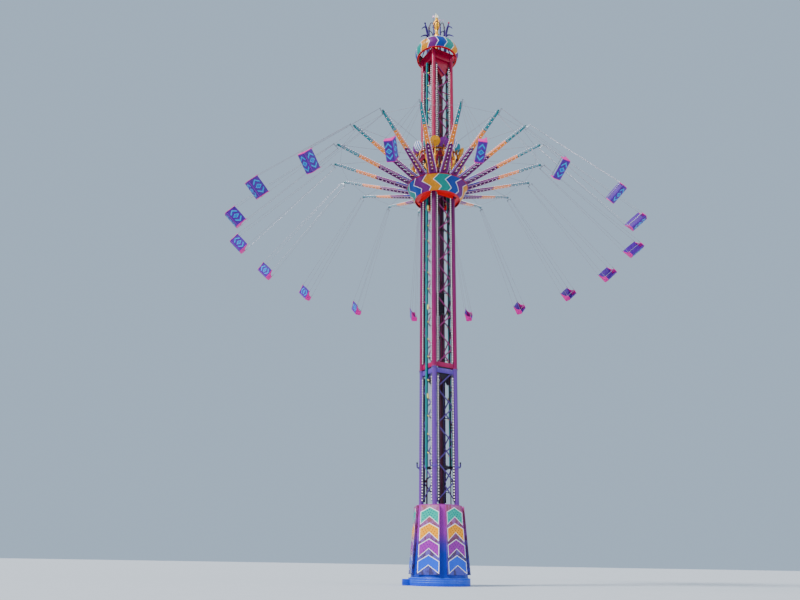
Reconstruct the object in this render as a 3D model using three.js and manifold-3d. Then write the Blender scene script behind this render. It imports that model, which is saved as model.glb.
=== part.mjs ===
// A chair swing ride: a lattice tower, a carriage that climbs it, a turning hub with eighteen
// arms, and a double seat hung from each arm on four cables.
// This is a scale model at 1:2 of a ride 42 m tall. All sizes are millimetres of the model.
// The origin is the middle of the underside of the base plate, +Z is up, and the four faces
// of the tower look along X and Y. An azimuth is measured from -Y towards +X.
import * as THREE from "three";
import { mergeVertices } from "three/addons/utils/BufferGeometryUtils.js";
import Module from "manifold-3d";

const wasm = await Module();
wasm.setup();

const SEAT_GAP = 0.3;

// Base
const BASE_PLATE_R = 900;
const BASE_PLATE_T = 30;
const SKIRT_RING_R = 900;
const SKIRT_RING_TOP = 210;
const SKIRT_BOTTOM_R = 835;
const SKIRT_TOP_R = 680;
const SKIRT_TOP_Z = 2215;
const SKIRT_WALL = 12;
const SKIRT_HOLE_HALF = 466;
const BOARD_COUNT = 6;
const BOARD_TURN_DEG = 6.5;
const BOARD_HALF_DEG = 23;
const BOARD_PROUD = 25;
const BOARD_T = 115;
const BOARD_BOTTOM = 300;
const BOARD_TOP = 2190;
const ROUND_SIDES = 32;
const RING_SIDES = 24;
const CABLE_SIDES = 3;
const STEP_LENGTH = 190;
const STEP_WIDTH = 150;
const STEP_HEIGHT = 170;
const STEP_SIDE = -9.5;

// Tower
const TOWER_HALF = 386;
const COLUMN_R = 72;
const COLUMN_SIDES = 12;
const COLUMN_TOP = 18750;
const JOINT_Z = 6390;
const BAR_T = 40;
const BRACE_EDGE = TOWER_HALF - COLUMN_R - SEAT_GAP;
const BRACE_BOTTOM = 2330;
const BRACE_TOP = 18170;
const BRACE_PAD = 18;
const BRACE_INSET = 34;
const LOWER_BAYS = 7;
const UPPER_BAYS = 20;
const JOINT_BEAM_H = 150;
const JOINT_BEAM_GAP = 24;
const JOINT_WEB_T = 12;
const JOINT_WEB_HALF = 210;
const LOWER_BRACE_TOP = JOINT_Z - JOINT_BEAM_GAP - JOINT_BEAM_H / 2;
const UPPER_BRACE_BOTTOM = JOINT_Z + JOINT_BEAM_GAP + JOINT_BEAM_H / 2;

// Guide rails, outside the two side faces
const RAIL_BOTTOM = 3325;
const RAIL_TOP = 18380;
const RAIL_OUT = 461;
const RAIL_HALF = 40;
const RAIL_WEB_HALF = 14;
const RAIL_FLANGE_T = 16;
const RAIL_TAIL = 320;
const RAIL_TAIL_R = 12;

// Landing frame with its buffer hooks
const LANDING_Z = 3300;
const LANDING_COLLAR_T = 60;
const HOOK_TOP = 3494;
const HOOK_REACH = 560;
const HOOK_T = 36;

// Head of the tower
const HEAD_BEAM_BOTTOM = 18420;
const HEAD_PLATE_T = 30;
const HEAD_HOLE_HALF = 262;
const HEAD_BEAM_IN = 342;
const HEAD_BEAM_OUT = 408;
const HEAD_PANEL_SIDE_DROP = 300;
const HEAD_PANEL_MIDDLE_DROP = 780;
const HEAD_PANEL_T = 12;
const HEAD_TOP = COLUMN_TOP + SEAT_GAP + HEAD_PLATE_T;
const CROWN_BRACKET_T = 40;
const CROWN_BRACKET_DROP = 260;

// Crown
const CROWN_BOTTOM = 18700;
const CROWN_TOP = 19200;
const CROWN_EDGE_R = 745;
const CROWN_BULGE = 75;
const CROWN_WALL = 16;
const CROWN_FLANGE = 55;
const FIGURE_TURNS_DEG = [-67, 5, 113, 185];
const FIGURE_T = 34;
const FIGURE_BODY_HALF = 26;
const FIGURE_LIMB_T = 28;
const FIGURE_LIMB_HALF = 17;
const FIGURE_BALL_R = 36;
const SPIRE_SIDES = 14;
const SPIRE_TOP = 21000;

// Counterweight and its guides, in the middle of the tower
const GUIDE_X = 172;
const GUIDE_HALF = 10;
const GUIDE_TIE_BAYS = 4;
const WEIGHT_BOTTOM = 8325;
const WEIGHT_TOP = 9020;
const WEIGHT_HALF_Y = 160;
const SHOE_H = 80;
const SHOE_OUT = 14;
const SHOE_DEPTH = 24;

// Carriage
const CARRIAGE_Z = 12600;
const DISC_R = 772;
const DISC_T = 14;
const DISC_HOLE_HALF = 490;
const SLEEVE_R = 640;
const SLEEVE_WALL = 16;
const SLEEVE_SIDES = 24;
const SLEEVE_TOP = 14200;
const SLEWING_R = 735;
const SLEWING_TOP = 13040;
const SLEWING_T = 50;
const WINDOW_HALF = 330;
const WINDOW_BOTTOM = 13160;
const WINDOW_TOP = 14020;
const ROLLER_R = 60;
const ROLLER_HALF = 32;
const ROLLER_FORK_T = 14;
const ROLLER_LEVELS = [12720, 14110];

// Hub
const HUB_BOTTOM_Z = 12540;
const HUB_BOTTOM_R = 790;
const HUB_TOP_R = 1065;
const HUB_COVER_T = 24;
const HUB_WALL = 12;
const HUB_BORE_R = 690;
const HUB_SIDES = 36;
const HUB_COVER_Z = SLEWING_TOP + SEAT_GAP;
const HUB_TOP = HUB_COVER_Z + HUB_COVER_T;

// Ornaments above the hub
const ORNAMENT_RING_IN = 724;
const ORNAMENT_RING_OUT = 784;
const ORNAMENT_RING_H = 24;
const ORNAMENT_RING_Z = 14280;
// Every 22.5 degrees from 8, but turned aside where a stay passes
const ORNAMENT_AZIMUTHS_DEG = [
  8, 30.5, 53, 75.5, 96.5, 123.5, 144, 165.5, 188, 210.5, 233, 255.5, 276.5, 304, 323, 345.5,
];
const BADGE_R = 185;
const BADGE_T = 44;
const BADGE_TILT_DEG = 28;
const BADGE_OUTS = [860, 795];
const BADGE_RISE = 210;
const LEG_T = 36;

// Arms
const ARM_COUNT = 18;
const ARM_ROOT_R = 790;
const ARM_BEND_R = 1045;
const ARM_END_R = 3630;
const ARM_RISE = 945;
const ARM_WINDOW_END_R = 2190;
const ARM_WINDOWS = 4;
const ARM_RAIL = 26;
const TIP_R = 3691;
const TIP_Z = 14037;
const CHEEK_INNER = 14;
const CHEEK_T = 12;
const PIN_R = 12;
const PIN_END = 36;
const PIN_SIDES = 6;
const STAY_R = 6;
const STAY_LUG_R = 3520;
const STAY_RING_R = 735;
const STAY_RING_HALF = 9;
const STAY_RING_H = 18;

// Chairs
const CABLE_LENGTH = 4530;
const CABLE_R = 6;
const HANGER_HALF_T = 13.5;
const HANGER_BORE_R = 14.3;
const SPREADER_DROP = 95;
const SPREADER_HALF = 118;
const SEAT_HALF = 285;
const SEAT_WALL = 16;
const SEAT_PAN_Z = -140;
const SEAT_BACK_TOP = 245;
const SEAT_FRONT_Y = -122;
const SEAT_REAR_Y = 112;
const LAP_BAR_R = 9;

const radians = THREE.MathUtils.degToRad;

// Shapes: closed meshes, and solids made from them

const solidOf = (geometry) => {
  const plain = geometry.clone();
  plain.deleteAttribute("normal");
  plain.deleteAttribute("uv");
  const merged = mergeVertices(plain, 1e-3);
  return new wasm.Manifold(
    new wasm.Mesh({
      numProp: 3,
      vertProperties: merged.attributes.position.array,
      triVerts: new Uint32Array(merged.index.array),
    }),
  );
};

const geometryOf = (solid) => {
  const mesh = solid.getMesh();
  const geometry = new THREE.BufferGeometry();
  geometry.setAttribute("position", new THREE.BufferAttribute(mesh.vertProperties, 3));
  geometry.setIndex(new THREE.BufferAttribute(mesh.triVerts, 1));
  geometry.computeVertexNormals();
  return geometry;
};

const join = (pieces) =>
  geometryOf(pieces.map(solidOf).reduce((whole, piece) => whole.add(piece)));

const cut = (body, tools) =>
  geometryOf(tools.map(solidOf).reduce((whole, tool) => whole.subtract(tool), solidOf(body)));

// A box between two opposite corners, given in any order
const block = (one, other) => {
  const size = one.map((value, i) => Math.abs(value - other[i]));
  const middle = one.map((value, i) => (value + other[i]) / 2);
  return new THREE.BoxGeometry(...size).translate(...middle);
};

const rod = (from, to, radius, sides) => {
  const start = new THREE.Vector3(...from);
  const way = new THREE.Vector3(...to).sub(start);
  const length = way.length();
  const turn = new THREE.Quaternion().setFromUnitVectors(
    new THREE.Vector3(0, 1, 0),
    way.normalize(),
  );
  return new THREE.CylinderGeometry(radius, radius, length, sides)
    .translate(0, length / 2, 0)
    .applyQuaternion(turn)
    .translate(start.x, start.y, start.z);
};

// A plate with its outline in X and Y, from z = 0 up to its thickness, with holes through it
const plate = (outline, thickness, holes = []) => {
  const shape = new THREE.Shape(outline.map(([x, y]) => new THREE.Vector2(x, y)));
  holes.forEach((hole) => {
    shape.holes.push(new THREE.Path(hole.map(([x, y]) => new THREE.Vector2(x, y))));
  });
  return new THREE.ExtrudeGeometry(shape, { depth: thickness, bevelEnabled: false });
};

// A plate that stands up: its outline lies in X and Z, and its thickness is centred on Y
const standingPlate = (outline, thickness, holes = []) =>
  plate(outline, thickness, holes)
    .rotateX(Math.PI / 2)
    .translate(0, thickness / 2, 0);

// A body of revolution about Z. The profile of [radius, height] runs up on its outer side.
const turned = (profile, sides) =>
  new THREE.LatheGeometry(
    profile.map(([r, z]) => new THREE.Vector2(r, z)),
    sides,
  ).rotateX(Math.PI / 2);

const aroundAxis = (count, make) =>
  Array.from({ length: count }, (_, i) => make().rotateZ((i * 2 * Math.PI) / count));

const squareOf = (half) => [
  [-half, -half],
  [half, -half],
  [half, half],
  [-half, half],
];

const CORNERS = squareOf(1);

// A bar of one width that bends along a path, as an outline for a plate
const ribbon = (path, halfWidth) => {
  const edge = (side) =>
    path.map(([x, z], i) => {
      const [x0, z0] = path[Math.max(i - 1, 0)];
      const [x1, z1] = path[Math.min(i + 1, path.length - 1)];
      const shift = (side * halfWidth) / Math.hypot(x1 - x0, z1 - z0);
      return [x - shift * (z1 - z0), z + shift * (x1 - x0)];
    });
  return [...edge(-1), ...edge(1).reverse()];
};

const tubeShape = (radius, bottom, top, sides = COLUMN_SIDES) =>
  new THREE.CylinderGeometry(radius, radius, top - bottom, sides)
    .rotateX(Math.PI / 2)
    .translate(0, 0, (top + bottom) / 2);

// Base

const basePlate = () =>
  turned(
    [
      [0, 0],
      [BASE_PLATE_R, 0],
      [BASE_PLATE_R, BASE_PLATE_T],
      [0, BASE_PLATE_T],
    ],
    ROUND_SIDES,
  );

const skirtRadius = (z) =>
  SKIRT_BOTTOM_R +
  ((SKIRT_TOP_R - SKIRT_BOTTOM_R) * (z - SKIRT_RING_TOP)) / (SKIRT_TOP_Z - SKIRT_RING_TOP);

// A flat board, as tall as the skirt, whose back lies inside the cone
const skirtBoard = () => {
  const slope = Math.atan((SKIRT_BOTTOM_R - SKIRT_TOP_R) / (SKIRT_TOP_Z - SKIRT_RING_TOP));
  const front = (z) => skirtRadius(z) + BOARD_PROUD;
  const low = front(BOARD_BOTTOM) * Math.tan(radians(BOARD_HALF_DEG));
  const high = front(BOARD_TOP) * Math.tan(radians(BOARD_HALF_DEG));
  const length = (BOARD_TOP - BOARD_BOTTOM) / Math.cos(slope);
  const outline = [
    [-low, 0],
    [low, 0],
    [high, length],
    [-high, length],
  ];
  return plate(outline, BOARD_T)
    .rotateX(Math.PI / 2)
    .translate(0, BOARD_T, 0)
    .rotateX(-slope)
    .translate(0, -front(BOARD_BOTTOM), BOARD_BOTTOM)
    .rotateZ(radians(BOARD_TURN_DEG));
};

// The boards stand proud of the cone, and their backs end inside its wall
const skirtBoards = () => {
  const coneR = (z) => skirtRadius(z) - SKIRT_WALL / 2;
  const cone = turned(
    [
      [0, SKIRT_RING_TOP],
      [coneR(SKIRT_RING_TOP), SKIRT_RING_TOP],
      [coneR(SKIRT_TOP_Z), SKIRT_TOP_Z],
      [0, SKIRT_TOP_Z],
    ],
    ROUND_SIDES,
  );
  return cut(join(aroundAxis(BOARD_COUNT, skirtBoard)), [cone]);
};

const baseSkirt = () => {
  const bottom = BASE_PLATE_T + SEAT_GAP;
  const shell = turned(
    [
      [SKIRT_RING_R - SKIRT_WALL, bottom],
      [SKIRT_RING_R, bottom],
      [SKIRT_RING_R, SKIRT_RING_TOP],
      [SKIRT_BOTTOM_R, SKIRT_RING_TOP],
      [SKIRT_TOP_R, SKIRT_TOP_Z],
      [0, SKIRT_TOP_Z],
      [0, SKIRT_TOP_Z - SKIRT_WALL],
      [SKIRT_TOP_R - SKIRT_WALL, SKIRT_TOP_Z - SKIRT_WALL],
      [SKIRT_BOTTOM_R - SKIRT_WALL, SKIRT_RING_TOP - SKIRT_WALL],
      [SKIRT_RING_R - SKIRT_WALL, SKIRT_RING_TOP - SKIRT_WALL],
      [SKIRT_RING_R - SKIRT_WALL, bottom],
    ],
    ROUND_SIDES,
  );
  const hole = block(
    [-SKIRT_HOLE_HALF, -SKIRT_HOLE_HALF, SKIRT_TOP_Z - 2 * SKIRT_WALL],
    [SKIRT_HOLE_HALF, SKIRT_HOLE_HALF, SKIRT_TOP_Z + SKIRT_WALL],
  );
  // A low step stands on the floor against one flat side of the ring
  const stepTop = block(
    [SKIRT_RING_R - SKIRT_WALL, -STEP_WIDTH / 2, bottom],
    [SKIRT_RING_R + STEP_LENGTH, STEP_WIDTH / 2, STEP_HEIGHT],
  );
  const stepFoot = block(
    [BASE_PLATE_R + SEAT_GAP, -STEP_WIDTH / 2, 0],
    [SKIRT_RING_R + STEP_LENGTH, STEP_WIDTH / 2, STEP_HEIGHT / 2],
  );
  const step = join([stepTop, stepFoot]).rotateZ(
    (STEP_SIDE * 2 * Math.PI) / ROUND_SIDES - Math.PI / 2,
  );
  return join([cut(shell, [hole]), skirtBoards(), step]);
};

// Tower

const column = () => tubeShape(COLUMN_R, BASE_PLATE_T + SEAT_GAP, COLUMN_TOP);

// A flat zigzag that runs from column to column and ends on a pad at each of them
const zigzag = (bottom, top, bays) => {
  const left = [];
  const right = [];
  for (let i = 0; i <= bays; i += 1) {
    const z = bottom + (i * (top - bottom)) / bays;
    const side = i % 2 ? 1 : -1;
    const outer = side < 0 ? left : right;
    const inner = side < 0 ? right : left;
    outer.push([side * BRACE_EDGE, z - BRACE_PAD]);
    outer.push([side * BRACE_EDGE, z + BRACE_PAD]);
    inner.push([side * (BRACE_EDGE - BRACE_INSET), z]);
  }
  return standingPlate([...right, ...left.reverse()], BAR_T);
};

// One face of the lattice, with the two beams where the tower's two sections are bolted
const braceFace = () => {
  const lowBeamTop = JOINT_Z - JOINT_BEAM_GAP;
  const highBeamBottom = JOINT_Z + JOINT_BEAM_GAP;
  const beam = (bottom, top) =>
    block([-BRACE_EDGE, -BAR_T / 2, bottom], [BRACE_EDGE, BAR_T / 2, top]);
  const web = block(
    [-JOINT_WEB_HALF, -JOINT_WEB_T / 2, lowBeamTop - 5],
    [JOINT_WEB_HALF, JOINT_WEB_T / 2, highBeamBottom + 5],
  );
  return join([
    zigzag(BRACE_BOTTOM, LOWER_BRACE_TOP, LOWER_BAYS),
    beam(lowBeamTop - JOINT_BEAM_H, lowBeamTop),
    web,
    beam(highBeamBottom, highBeamBottom + JOINT_BEAM_H),
    zigzag(UPPER_BRACE_BOTTOM, BRACE_TOP, UPPER_BAYS),
  ]).translate(0, -TOWER_HALF, 0);
};

const guideRail = () => {
  const inner = TOWER_HALF + BAR_T / 2 + SEAT_GAP;
  const section = [
    [inner, -RAIL_HALF],
    [inner + RAIL_FLANGE_T, -RAIL_HALF],
    [inner + RAIL_FLANGE_T, -RAIL_WEB_HALF],
    [RAIL_OUT - RAIL_FLANGE_T, -RAIL_WEB_HALF],
    [RAIL_OUT - RAIL_FLANGE_T, -RAIL_HALF],
    [RAIL_OUT, -RAIL_HALF],
    [RAIL_OUT, RAIL_HALF],
    [RAIL_OUT - RAIL_FLANGE_T, RAIL_HALF],
    [RAIL_OUT - RAIL_FLANGE_T, RAIL_WEB_HALF],
    [inner + RAIL_FLANGE_T, RAIL_WEB_HALF],
    [inner + RAIL_FLANGE_T, RAIL_HALF],
    [inner, RAIL_HALF],
  ];
  const middle = (inner + RAIL_OUT) / 2;
  return join([
    plate(section, RAIL_TOP - RAIL_BOTTOM).translate(0, 0, RAIL_BOTTOM),
    tubeShape(RAIL_TAIL_R, RAIL_BOTTOM - RAIL_TAIL, RAIL_BOTTOM + 10, 6).translate(middle, 0, 0),
  ]);
};

// A square frame inside the tower, clamped to the columns, with a buffer hook at each column
const landingFrame = () => {
  const half = TOWER_HALF + COLUMN_R + 12;
  const clampIn = BRACE_EDGE - 16;
  const top = LANDING_Z + LANDING_COLLAR_T;
  const ring = plate(squareOf(clampIn + 16), LANDING_COLLAR_T, [squareOf(clampIn - 16)]);
  ring.translate(0, 0, LANDING_Z);
  const clamps = CORNERS.map(([x, y]) =>
    block([x * half, y * half, LANDING_Z], [x * clampIn, y * clampIn, top]),
  );
  const hookOutline = [
    [half - 20, LANDING_Z],
    [HOOK_REACH - 30, LANDING_Z],
    [HOOK_REACH, LANDING_Z + 40],
    [HOOK_REACH, HOOK_TOP],
    [HOOK_REACH - 40, HOOK_TOP],
    [HOOK_REACH - 40, LANDING_Z + 50],
    [half - 20, LANDING_Z + 50],
  ];
  const hook = (x, y) =>
    standingPlate(hookOutline, HOOK_T)
      .rotateZ(x < 0 ? Math.PI : 0)
      .translate(0, y * TOWER_HALF, 0);
  const hooks = CORNERS.map(([x, y]) => hook(x, y));
  const bore = tubeShape(COLUMN_R + SEAT_GAP, LANDING_Z - 50, top + 50);
  const bores = CORNERS.map(([x, y]) => bore.clone().translate(x * TOWER_HALF, y * TOWER_HALF, 0));
  return cut(join([ring, ...clamps, ...hooks]), bores);
};

// Head of the tower

const headFrame = () => {
  const plateBottom = COLUMN_TOP + SEAT_GAP;
  const half = TOWER_HALF + COLUMN_R + 14;
  const topPlate = plate(squareOf(half), HEAD_PLATE_T, [squareOf(HEAD_HOLE_HALF)]);
  topPlate.translate(0, 0, plateBottom);
  const beams = aroundAxis(4, () =>
    block(
      [-BRACE_EDGE, -HEAD_BEAM_OUT, HEAD_BEAM_BOTTOM],
      [BRACE_EDGE, -HEAD_BEAM_IN, plateBottom + 5],
    ),
  );
  const panelOutline = [
    [-BRACE_EDGE, HEAD_BEAM_BOTTOM - HEAD_PANEL_SIDE_DROP],
    [0, HEAD_BEAM_BOTTOM - HEAD_PANEL_MIDDLE_DROP],
    [BRACE_EDGE, HEAD_BEAM_BOTTOM - HEAD_PANEL_SIDE_DROP],
    [BRACE_EDGE, HEAD_BEAM_BOTTOM + 20],
    [-BRACE_EDGE, HEAD_BEAM_BOTTOM + 20],
  ];
  const panelY = HEAD_BEAM_IN + HEAD_PANEL_T / 2 + 2;
  const panels = [-1, 1].map((side) =>
    standingPlate(panelOutline, HEAD_PANEL_T).translate(0, side * panelY, 0),
  );
  const cornerR = (half - 30) * Math.SQRT2;
  const bracketOutline = [
    [cornerR, plateBottom + 10],
    [cornerR, plateBottom - CROWN_BRACKET_DROP],
    [cornerR + 22, plateBottom - CROWN_BRACKET_DROP],
    [CROWN_EDGE_R - 4, CROWN_BOTTOM - SEAT_GAP - 46],
    [CROWN_EDGE_R - 4, CROWN_BOTTOM - SEAT_GAP],
    [cornerR + 24, CROWN_BOTTOM - SEAT_GAP],
    [cornerR + 24, plateBottom + 10],
  ];
  const brackets = aroundAxis(4, () =>
    standingPlate(bracketOutline, CROWN_BRACKET_T).rotateZ(Math.PI / 4),
  );
  return join([topPlate, ...beams, ...panels, ...brackets]);
};

// Crown

const crownBand = () => {
  const steps = 4;
  const outer = [];
  for (let i = 0; i <= steps; i += 1) {
    const share = i / steps;
    outer.push([
      CROWN_EDGE_R + CROWN_BULGE * Math.sin(Math.PI * share),
      CROWN_BOTTOM + share * (CROWN_TOP - CROWN_BOTTOM),
    ]);
  }
  const inner = outer
    .filter((_, i) => i > 0)
    .map(([r, z]) => [r - CROWN_WALL, z])
    .reverse();
  const flangeR = CROWN_EDGE_R - CROWN_FLANGE;
  const start = [flangeR, CROWN_BOTTOM];
  return turned(
    [
      start,
      ...outer,
      ...inner,
      [CROWN_EDGE_R - CROWN_WALL, CROWN_BOTTOM + CROWN_WALL],
      [flangeR, CROWN_BOTTOM + CROWN_WALL],
      start,
    ],
    HUB_SIDES,
  );
};

// A curved standing scroll with a ball at its top, one limb that bends down in front of it
// and one that trails out below the rim. Heights are above the ring that carries it.
const FIGURE_BODY = [
  [728, 14],
  [625, 130],
  [600, 280],
  [640, 450],
  [715, 600],
  [768, 725],
];
const FIGURE_UPPER_LIMB = [
  [700, 585],
  [800, 520],
  [900, 420],
  [975, 300],
];
const FIGURE_LOWER_LIMB = [
  [610, 225],
  [740, 170],
  [880, 50],
  [990, -60],
  [1040, -130],
];

const crownFigure = (turnDeg) =>
  join([
    standingPlate(ribbon(FIGURE_BODY, FIGURE_BODY_HALF), FIGURE_T),
    standingPlate(ribbon(FIGURE_UPPER_LIMB, FIGURE_LIMB_HALF), FIGURE_LIMB_T),
    standingPlate(ribbon(FIGURE_LOWER_LIMB, FIGURE_LIMB_HALF), FIGURE_LIMB_T),
    new THREE.IcosahedronGeometry(FIGURE_BALL_R, 0).translate(768, 0, 725),
  ]).rotateZ(radians(turnDeg - 90));

// A ring on the crown's rim carries the standing figures, which stand in two pairs
const crownFigures = () => {
  const inner = CROWN_EDGE_R - CROWN_WALL - 20;
  const outer = CROWN_EDGE_R - 2;
  const rim = turned(
    [
      [inner, 0],
      [outer, 0],
      [outer, 18],
      [inner, 18],
      [inner, 0],
    ],
    RING_SIDES,
  );
  return join([rim, ...FIGURE_TURNS_DEG.map(crownFigure)]).translate(0, 0, CROWN_TOP + SEAT_GAP);
};

// The middle spire stands on the head of the tower: a foot, a stem, a vase, a waist, a slim
// body and a flame
const goldSpire = () =>
  turned(
    [
      [0, HEAD_TOP + SEAT_GAP],
      [330, HEAD_TOP + SEAT_GAP],
      [330, HEAD_TOP + 20],
      [90, HEAD_TOP + 60],
      [60, 19350],
      [60, 19620],
      [88, 19780],
      [80, 19900],
      [54, 20020],
      [54, 20160],
      [112, 20400],
      [110, 20490],
      [52, 20740],
      [75, 20830],
      [48, 20930],
      [0, SPIRE_TOP],
    ],
    SPIRE_SIDES,
  );

// Counterweight

// One square guide bar on a foot plate, tied to the lattice where a zigzag bar crosses the middle
const counterweightGuide = () => {
  const bottom = BASE_PLATE_T + SEAT_GAP;
  const tieReach = TOWER_HALF - BAR_T / 2 - SEAT_GAP;
  const lowPitch = (LOWER_BRACE_TOP - BRACE_BOTTOM) / LOWER_BAYS;
  const highPitch = (BRACE_TOP - UPPER_BRACE_BOTTOM) / UPPER_BAYS;
  const tieHeights = [];
  for (let bay = 0; bay < LOWER_BAYS; bay += GUIDE_TIE_BAYS) {
    tieHeights.push(BRACE_BOTTOM + (bay + 0.5) * lowPitch);
  }
  for (let bay = 0; bay < UPPER_BAYS; bay += GUIDE_TIE_BAYS) {
    tieHeights.push(UPPER_BRACE_BOTTOM + (bay + 0.5) * highPitch);
  }
  return join([
    block([GUIDE_X - GUIDE_HALF, -40, bottom], [GUIDE_X + 70, 40, bottom + 16]),
    block([GUIDE_X - GUIDE_HALF, -GUIDE_HALF, bottom + 8], [GUIDE_X + GUIDE_HALF, GUIDE_HALF, BRACE_TOP]),
    ...tieHeights.map((z) => block([GUIDE_X + GUIDE_HALF - 4, -8, z - 12], [tieReach, 8, z + 12])),
  ]);
};

const counterweight = () => {
  const halfX = GUIDE_X - GUIDE_HALF - SEAT_GAP;
  const shoeIn = GUIDE_HALF + SEAT_GAP;
  const weight = block(
    [-halfX, -WEIGHT_HALF_Y, WEIGHT_BOTTOM],
    [halfX, WEIGHT_HALF_Y, WEIGHT_TOP],
  );
  const shoes = [WEIGHT_BOTTOM + 20, WEIGHT_TOP - 20 - SHOE_H].flatMap((z) =>
    CORNERS.map(([x, y]) =>
      block(
        [x * (halfX - 5), y * shoeIn, z],
        [x * (halfX + SHOE_OUT), y * (shoeIn + SHOE_DEPTH), z + SHOE_H],
      ),
    ),
  );
  return join([weight, ...shoes]);
};

// Carriage

const rollerSet = (z) => {
  const x = RAIL_OUT + SEAT_GAP + ROLLER_R * Math.cos(Math.PI / COLUMN_SIDES);
  const fork = [-1, 1].map((side) => {
    const y = side * (ROLLER_HALF + ROLLER_FORK_T / 2);
    return standingPlate(
      [
        [x - 30, z - 26],
        [SLEEVE_R + 6, z - 50],
        [SLEEVE_R + 6, z + 50],
        [x - 30, z + 26],
      ],
      ROLLER_FORK_T,
    ).translate(0, y, 0);
  });
  const rollerLength = 2 * ROLLER_HALF + 4;
  const roller = new THREE.CylinderGeometry(ROLLER_R, ROLLER_R, rollerLength, COLUMN_SIDES)
    .rotateY(Math.PI / COLUMN_SIDES)
    .translate(x, 0, z);
  return [roller, ...fork];
};

const carriageFrame = () => {
  const sleeveOut = SLEEVE_R + SLEEVE_WALL;
  const sleeve = turned(
    [
      [SLEEVE_R, CARRIAGE_Z + 4],
      [sleeveOut, CARRIAGE_Z + 4],
      [sleeveOut, SLEWING_TOP - SLEWING_T],
      [SLEWING_R, SLEWING_TOP - SLEWING_T],
      [SLEWING_R, SLEWING_TOP],
      [sleeveOut, SLEWING_TOP],
      [sleeveOut, SLEEVE_TOP],
      [SLEEVE_R, SLEEVE_TOP],
      [SLEEVE_R, CARRIAGE_Z + 4],
    ],
    SLEEVE_SIDES,
  );
  const windows = [0, Math.PI / 2].map((turn) =>
    block(
      [-WINDOW_HALF, -SLEWING_R, WINDOW_BOTTOM],
      [WINDOW_HALF, SLEWING_R, WINDOW_TOP],
    ).rotateZ(turn),
  );
  const disc = cut(
    tubeShape(DISC_R, CARRIAGE_Z, CARRIAGE_Z + DISC_T, HUB_SIDES),
    [
      block(
        [-DISC_HOLE_HALF, -DISC_HOLE_HALF, CARRIAGE_Z - DISC_T],
        [DISC_HOLE_HALF, DISC_HOLE_HALF, CARRIAGE_Z + 2 * DISC_T],
      ),
    ],
  );
  const rollers = ROLLER_LEVELS.flatMap((z) =>
    [0, Math.PI].flatMap((turn) => rollerSet(z).map((piece) => piece.rotateZ(turn))),
  );
  return join([cut(sleeve, windows), disc, ...rollers]);
};

// Hub

const hubBand = () => {
  const start = [HUB_BORE_R, HUB_COVER_Z];
  return turned(
    [
      start,
      [HUB_TOP_R - HUB_WALL - 6, HUB_COVER_Z],
      [HUB_BOTTOM_R - HUB_WALL, HUB_BOTTOM_Z],
      [HUB_BOTTOM_R, HUB_BOTTOM_Z],
      [HUB_TOP_R, HUB_COVER_Z + 8],
      [HUB_TOP_R, HUB_TOP],
      [HUB_BORE_R, HUB_TOP],
      start,
    ],
    HUB_SIDES,
  );
};

// Curved legs that carry a ring of round badges above the hub
const ornamentRing = () => {
  const ringBottom = ORNAMENT_RING_Z - ORNAMENT_RING_H;
  const foot = HUB_TOP + SEAT_GAP;
  const ring = turned(
    [
      [ORNAMENT_RING_IN, ringBottom],
      [ORNAMENT_RING_OUT, ringBottom],
      [ORNAMENT_RING_OUT, ORNAMENT_RING_Z],
      [ORNAMENT_RING_IN, ORNAMENT_RING_Z],
      [ORNAMENT_RING_IN, ringBottom],
    ],
    RING_SIDES,
  );
  const legOutline = (badgeOut) => [
    [704, foot],
    [766, foot],
    [900, foot + 600],
    [905, foot + 760],
    [812, ringBottom],
    [badgeOut - 18, ORNAMENT_RING_Z + 190],
    [762, ORNAMENT_RING_Z + 190],
    [762, ORNAMENT_RING_Z - 4],
    [740, ORNAMENT_RING_Z - 10],
    [740, ringBottom - 70],
    [835, foot + 740],
    [832, foot + 640],
  ];
  const badge = (badgeOut) =>
    new THREE.CylinderGeometry(BADGE_R, BADGE_R, BADGE_T, 10)
      .rotateZ(Math.PI / 2)
      .rotateY(radians(BADGE_TILT_DEG))
      .translate(badgeOut, 0, ORNAMENT_RING_Z + BADGE_RISE);
  const ornaments = ORNAMENT_AZIMUTHS_DEG.flatMap((azimuth, i) => {
    const out = BADGE_OUTS[i % BADGE_OUTS.length];
    const turn = radians(azimuth);
    return [
      standingPlate(legOutline(out), LEG_T).rotateZ(turn),
      badge(out).rotateZ(turn),
    ];
  });
  return join([ring, ...ornaments]);
};

// Arms: built along +X, so an arm at an azimuth is turned by that azimuth less a quarter turn

const armBottom = (r) =>
  HUB_TOP + SEAT_GAP + (ARM_RISE * Math.max(r - ARM_BEND_R, 0)) / (ARM_END_R - ARM_BEND_R);

const alongStretches = (stops, r) => {
  const i = Math.max(1, stops.findIndex(([at]) => at >= r));
  const [[r0, v0], [r1, v1]] = [stops[i - 1], stops[i]];
  return v0 + ((v1 - v0) * (r - r0)) / (r1 - r0);
};

const ARM_DEPTHS = [
  [ARM_ROOT_R, 60],
  [ARM_BEND_R, 70],
  [ARM_END_R, 50],
];

const ARM_HALF_WIDTHS = [
  [ARM_ROOT_R, 104],
  [ARM_BEND_R, 134],
  [2300, 80],
  [ARM_END_R, 48],
];

const armDepth = (r) => alongStretches(ARM_DEPTHS, r);
const armHalfWidth = (r) => alongStretches(ARM_HALF_WIDTHS, r);

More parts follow.
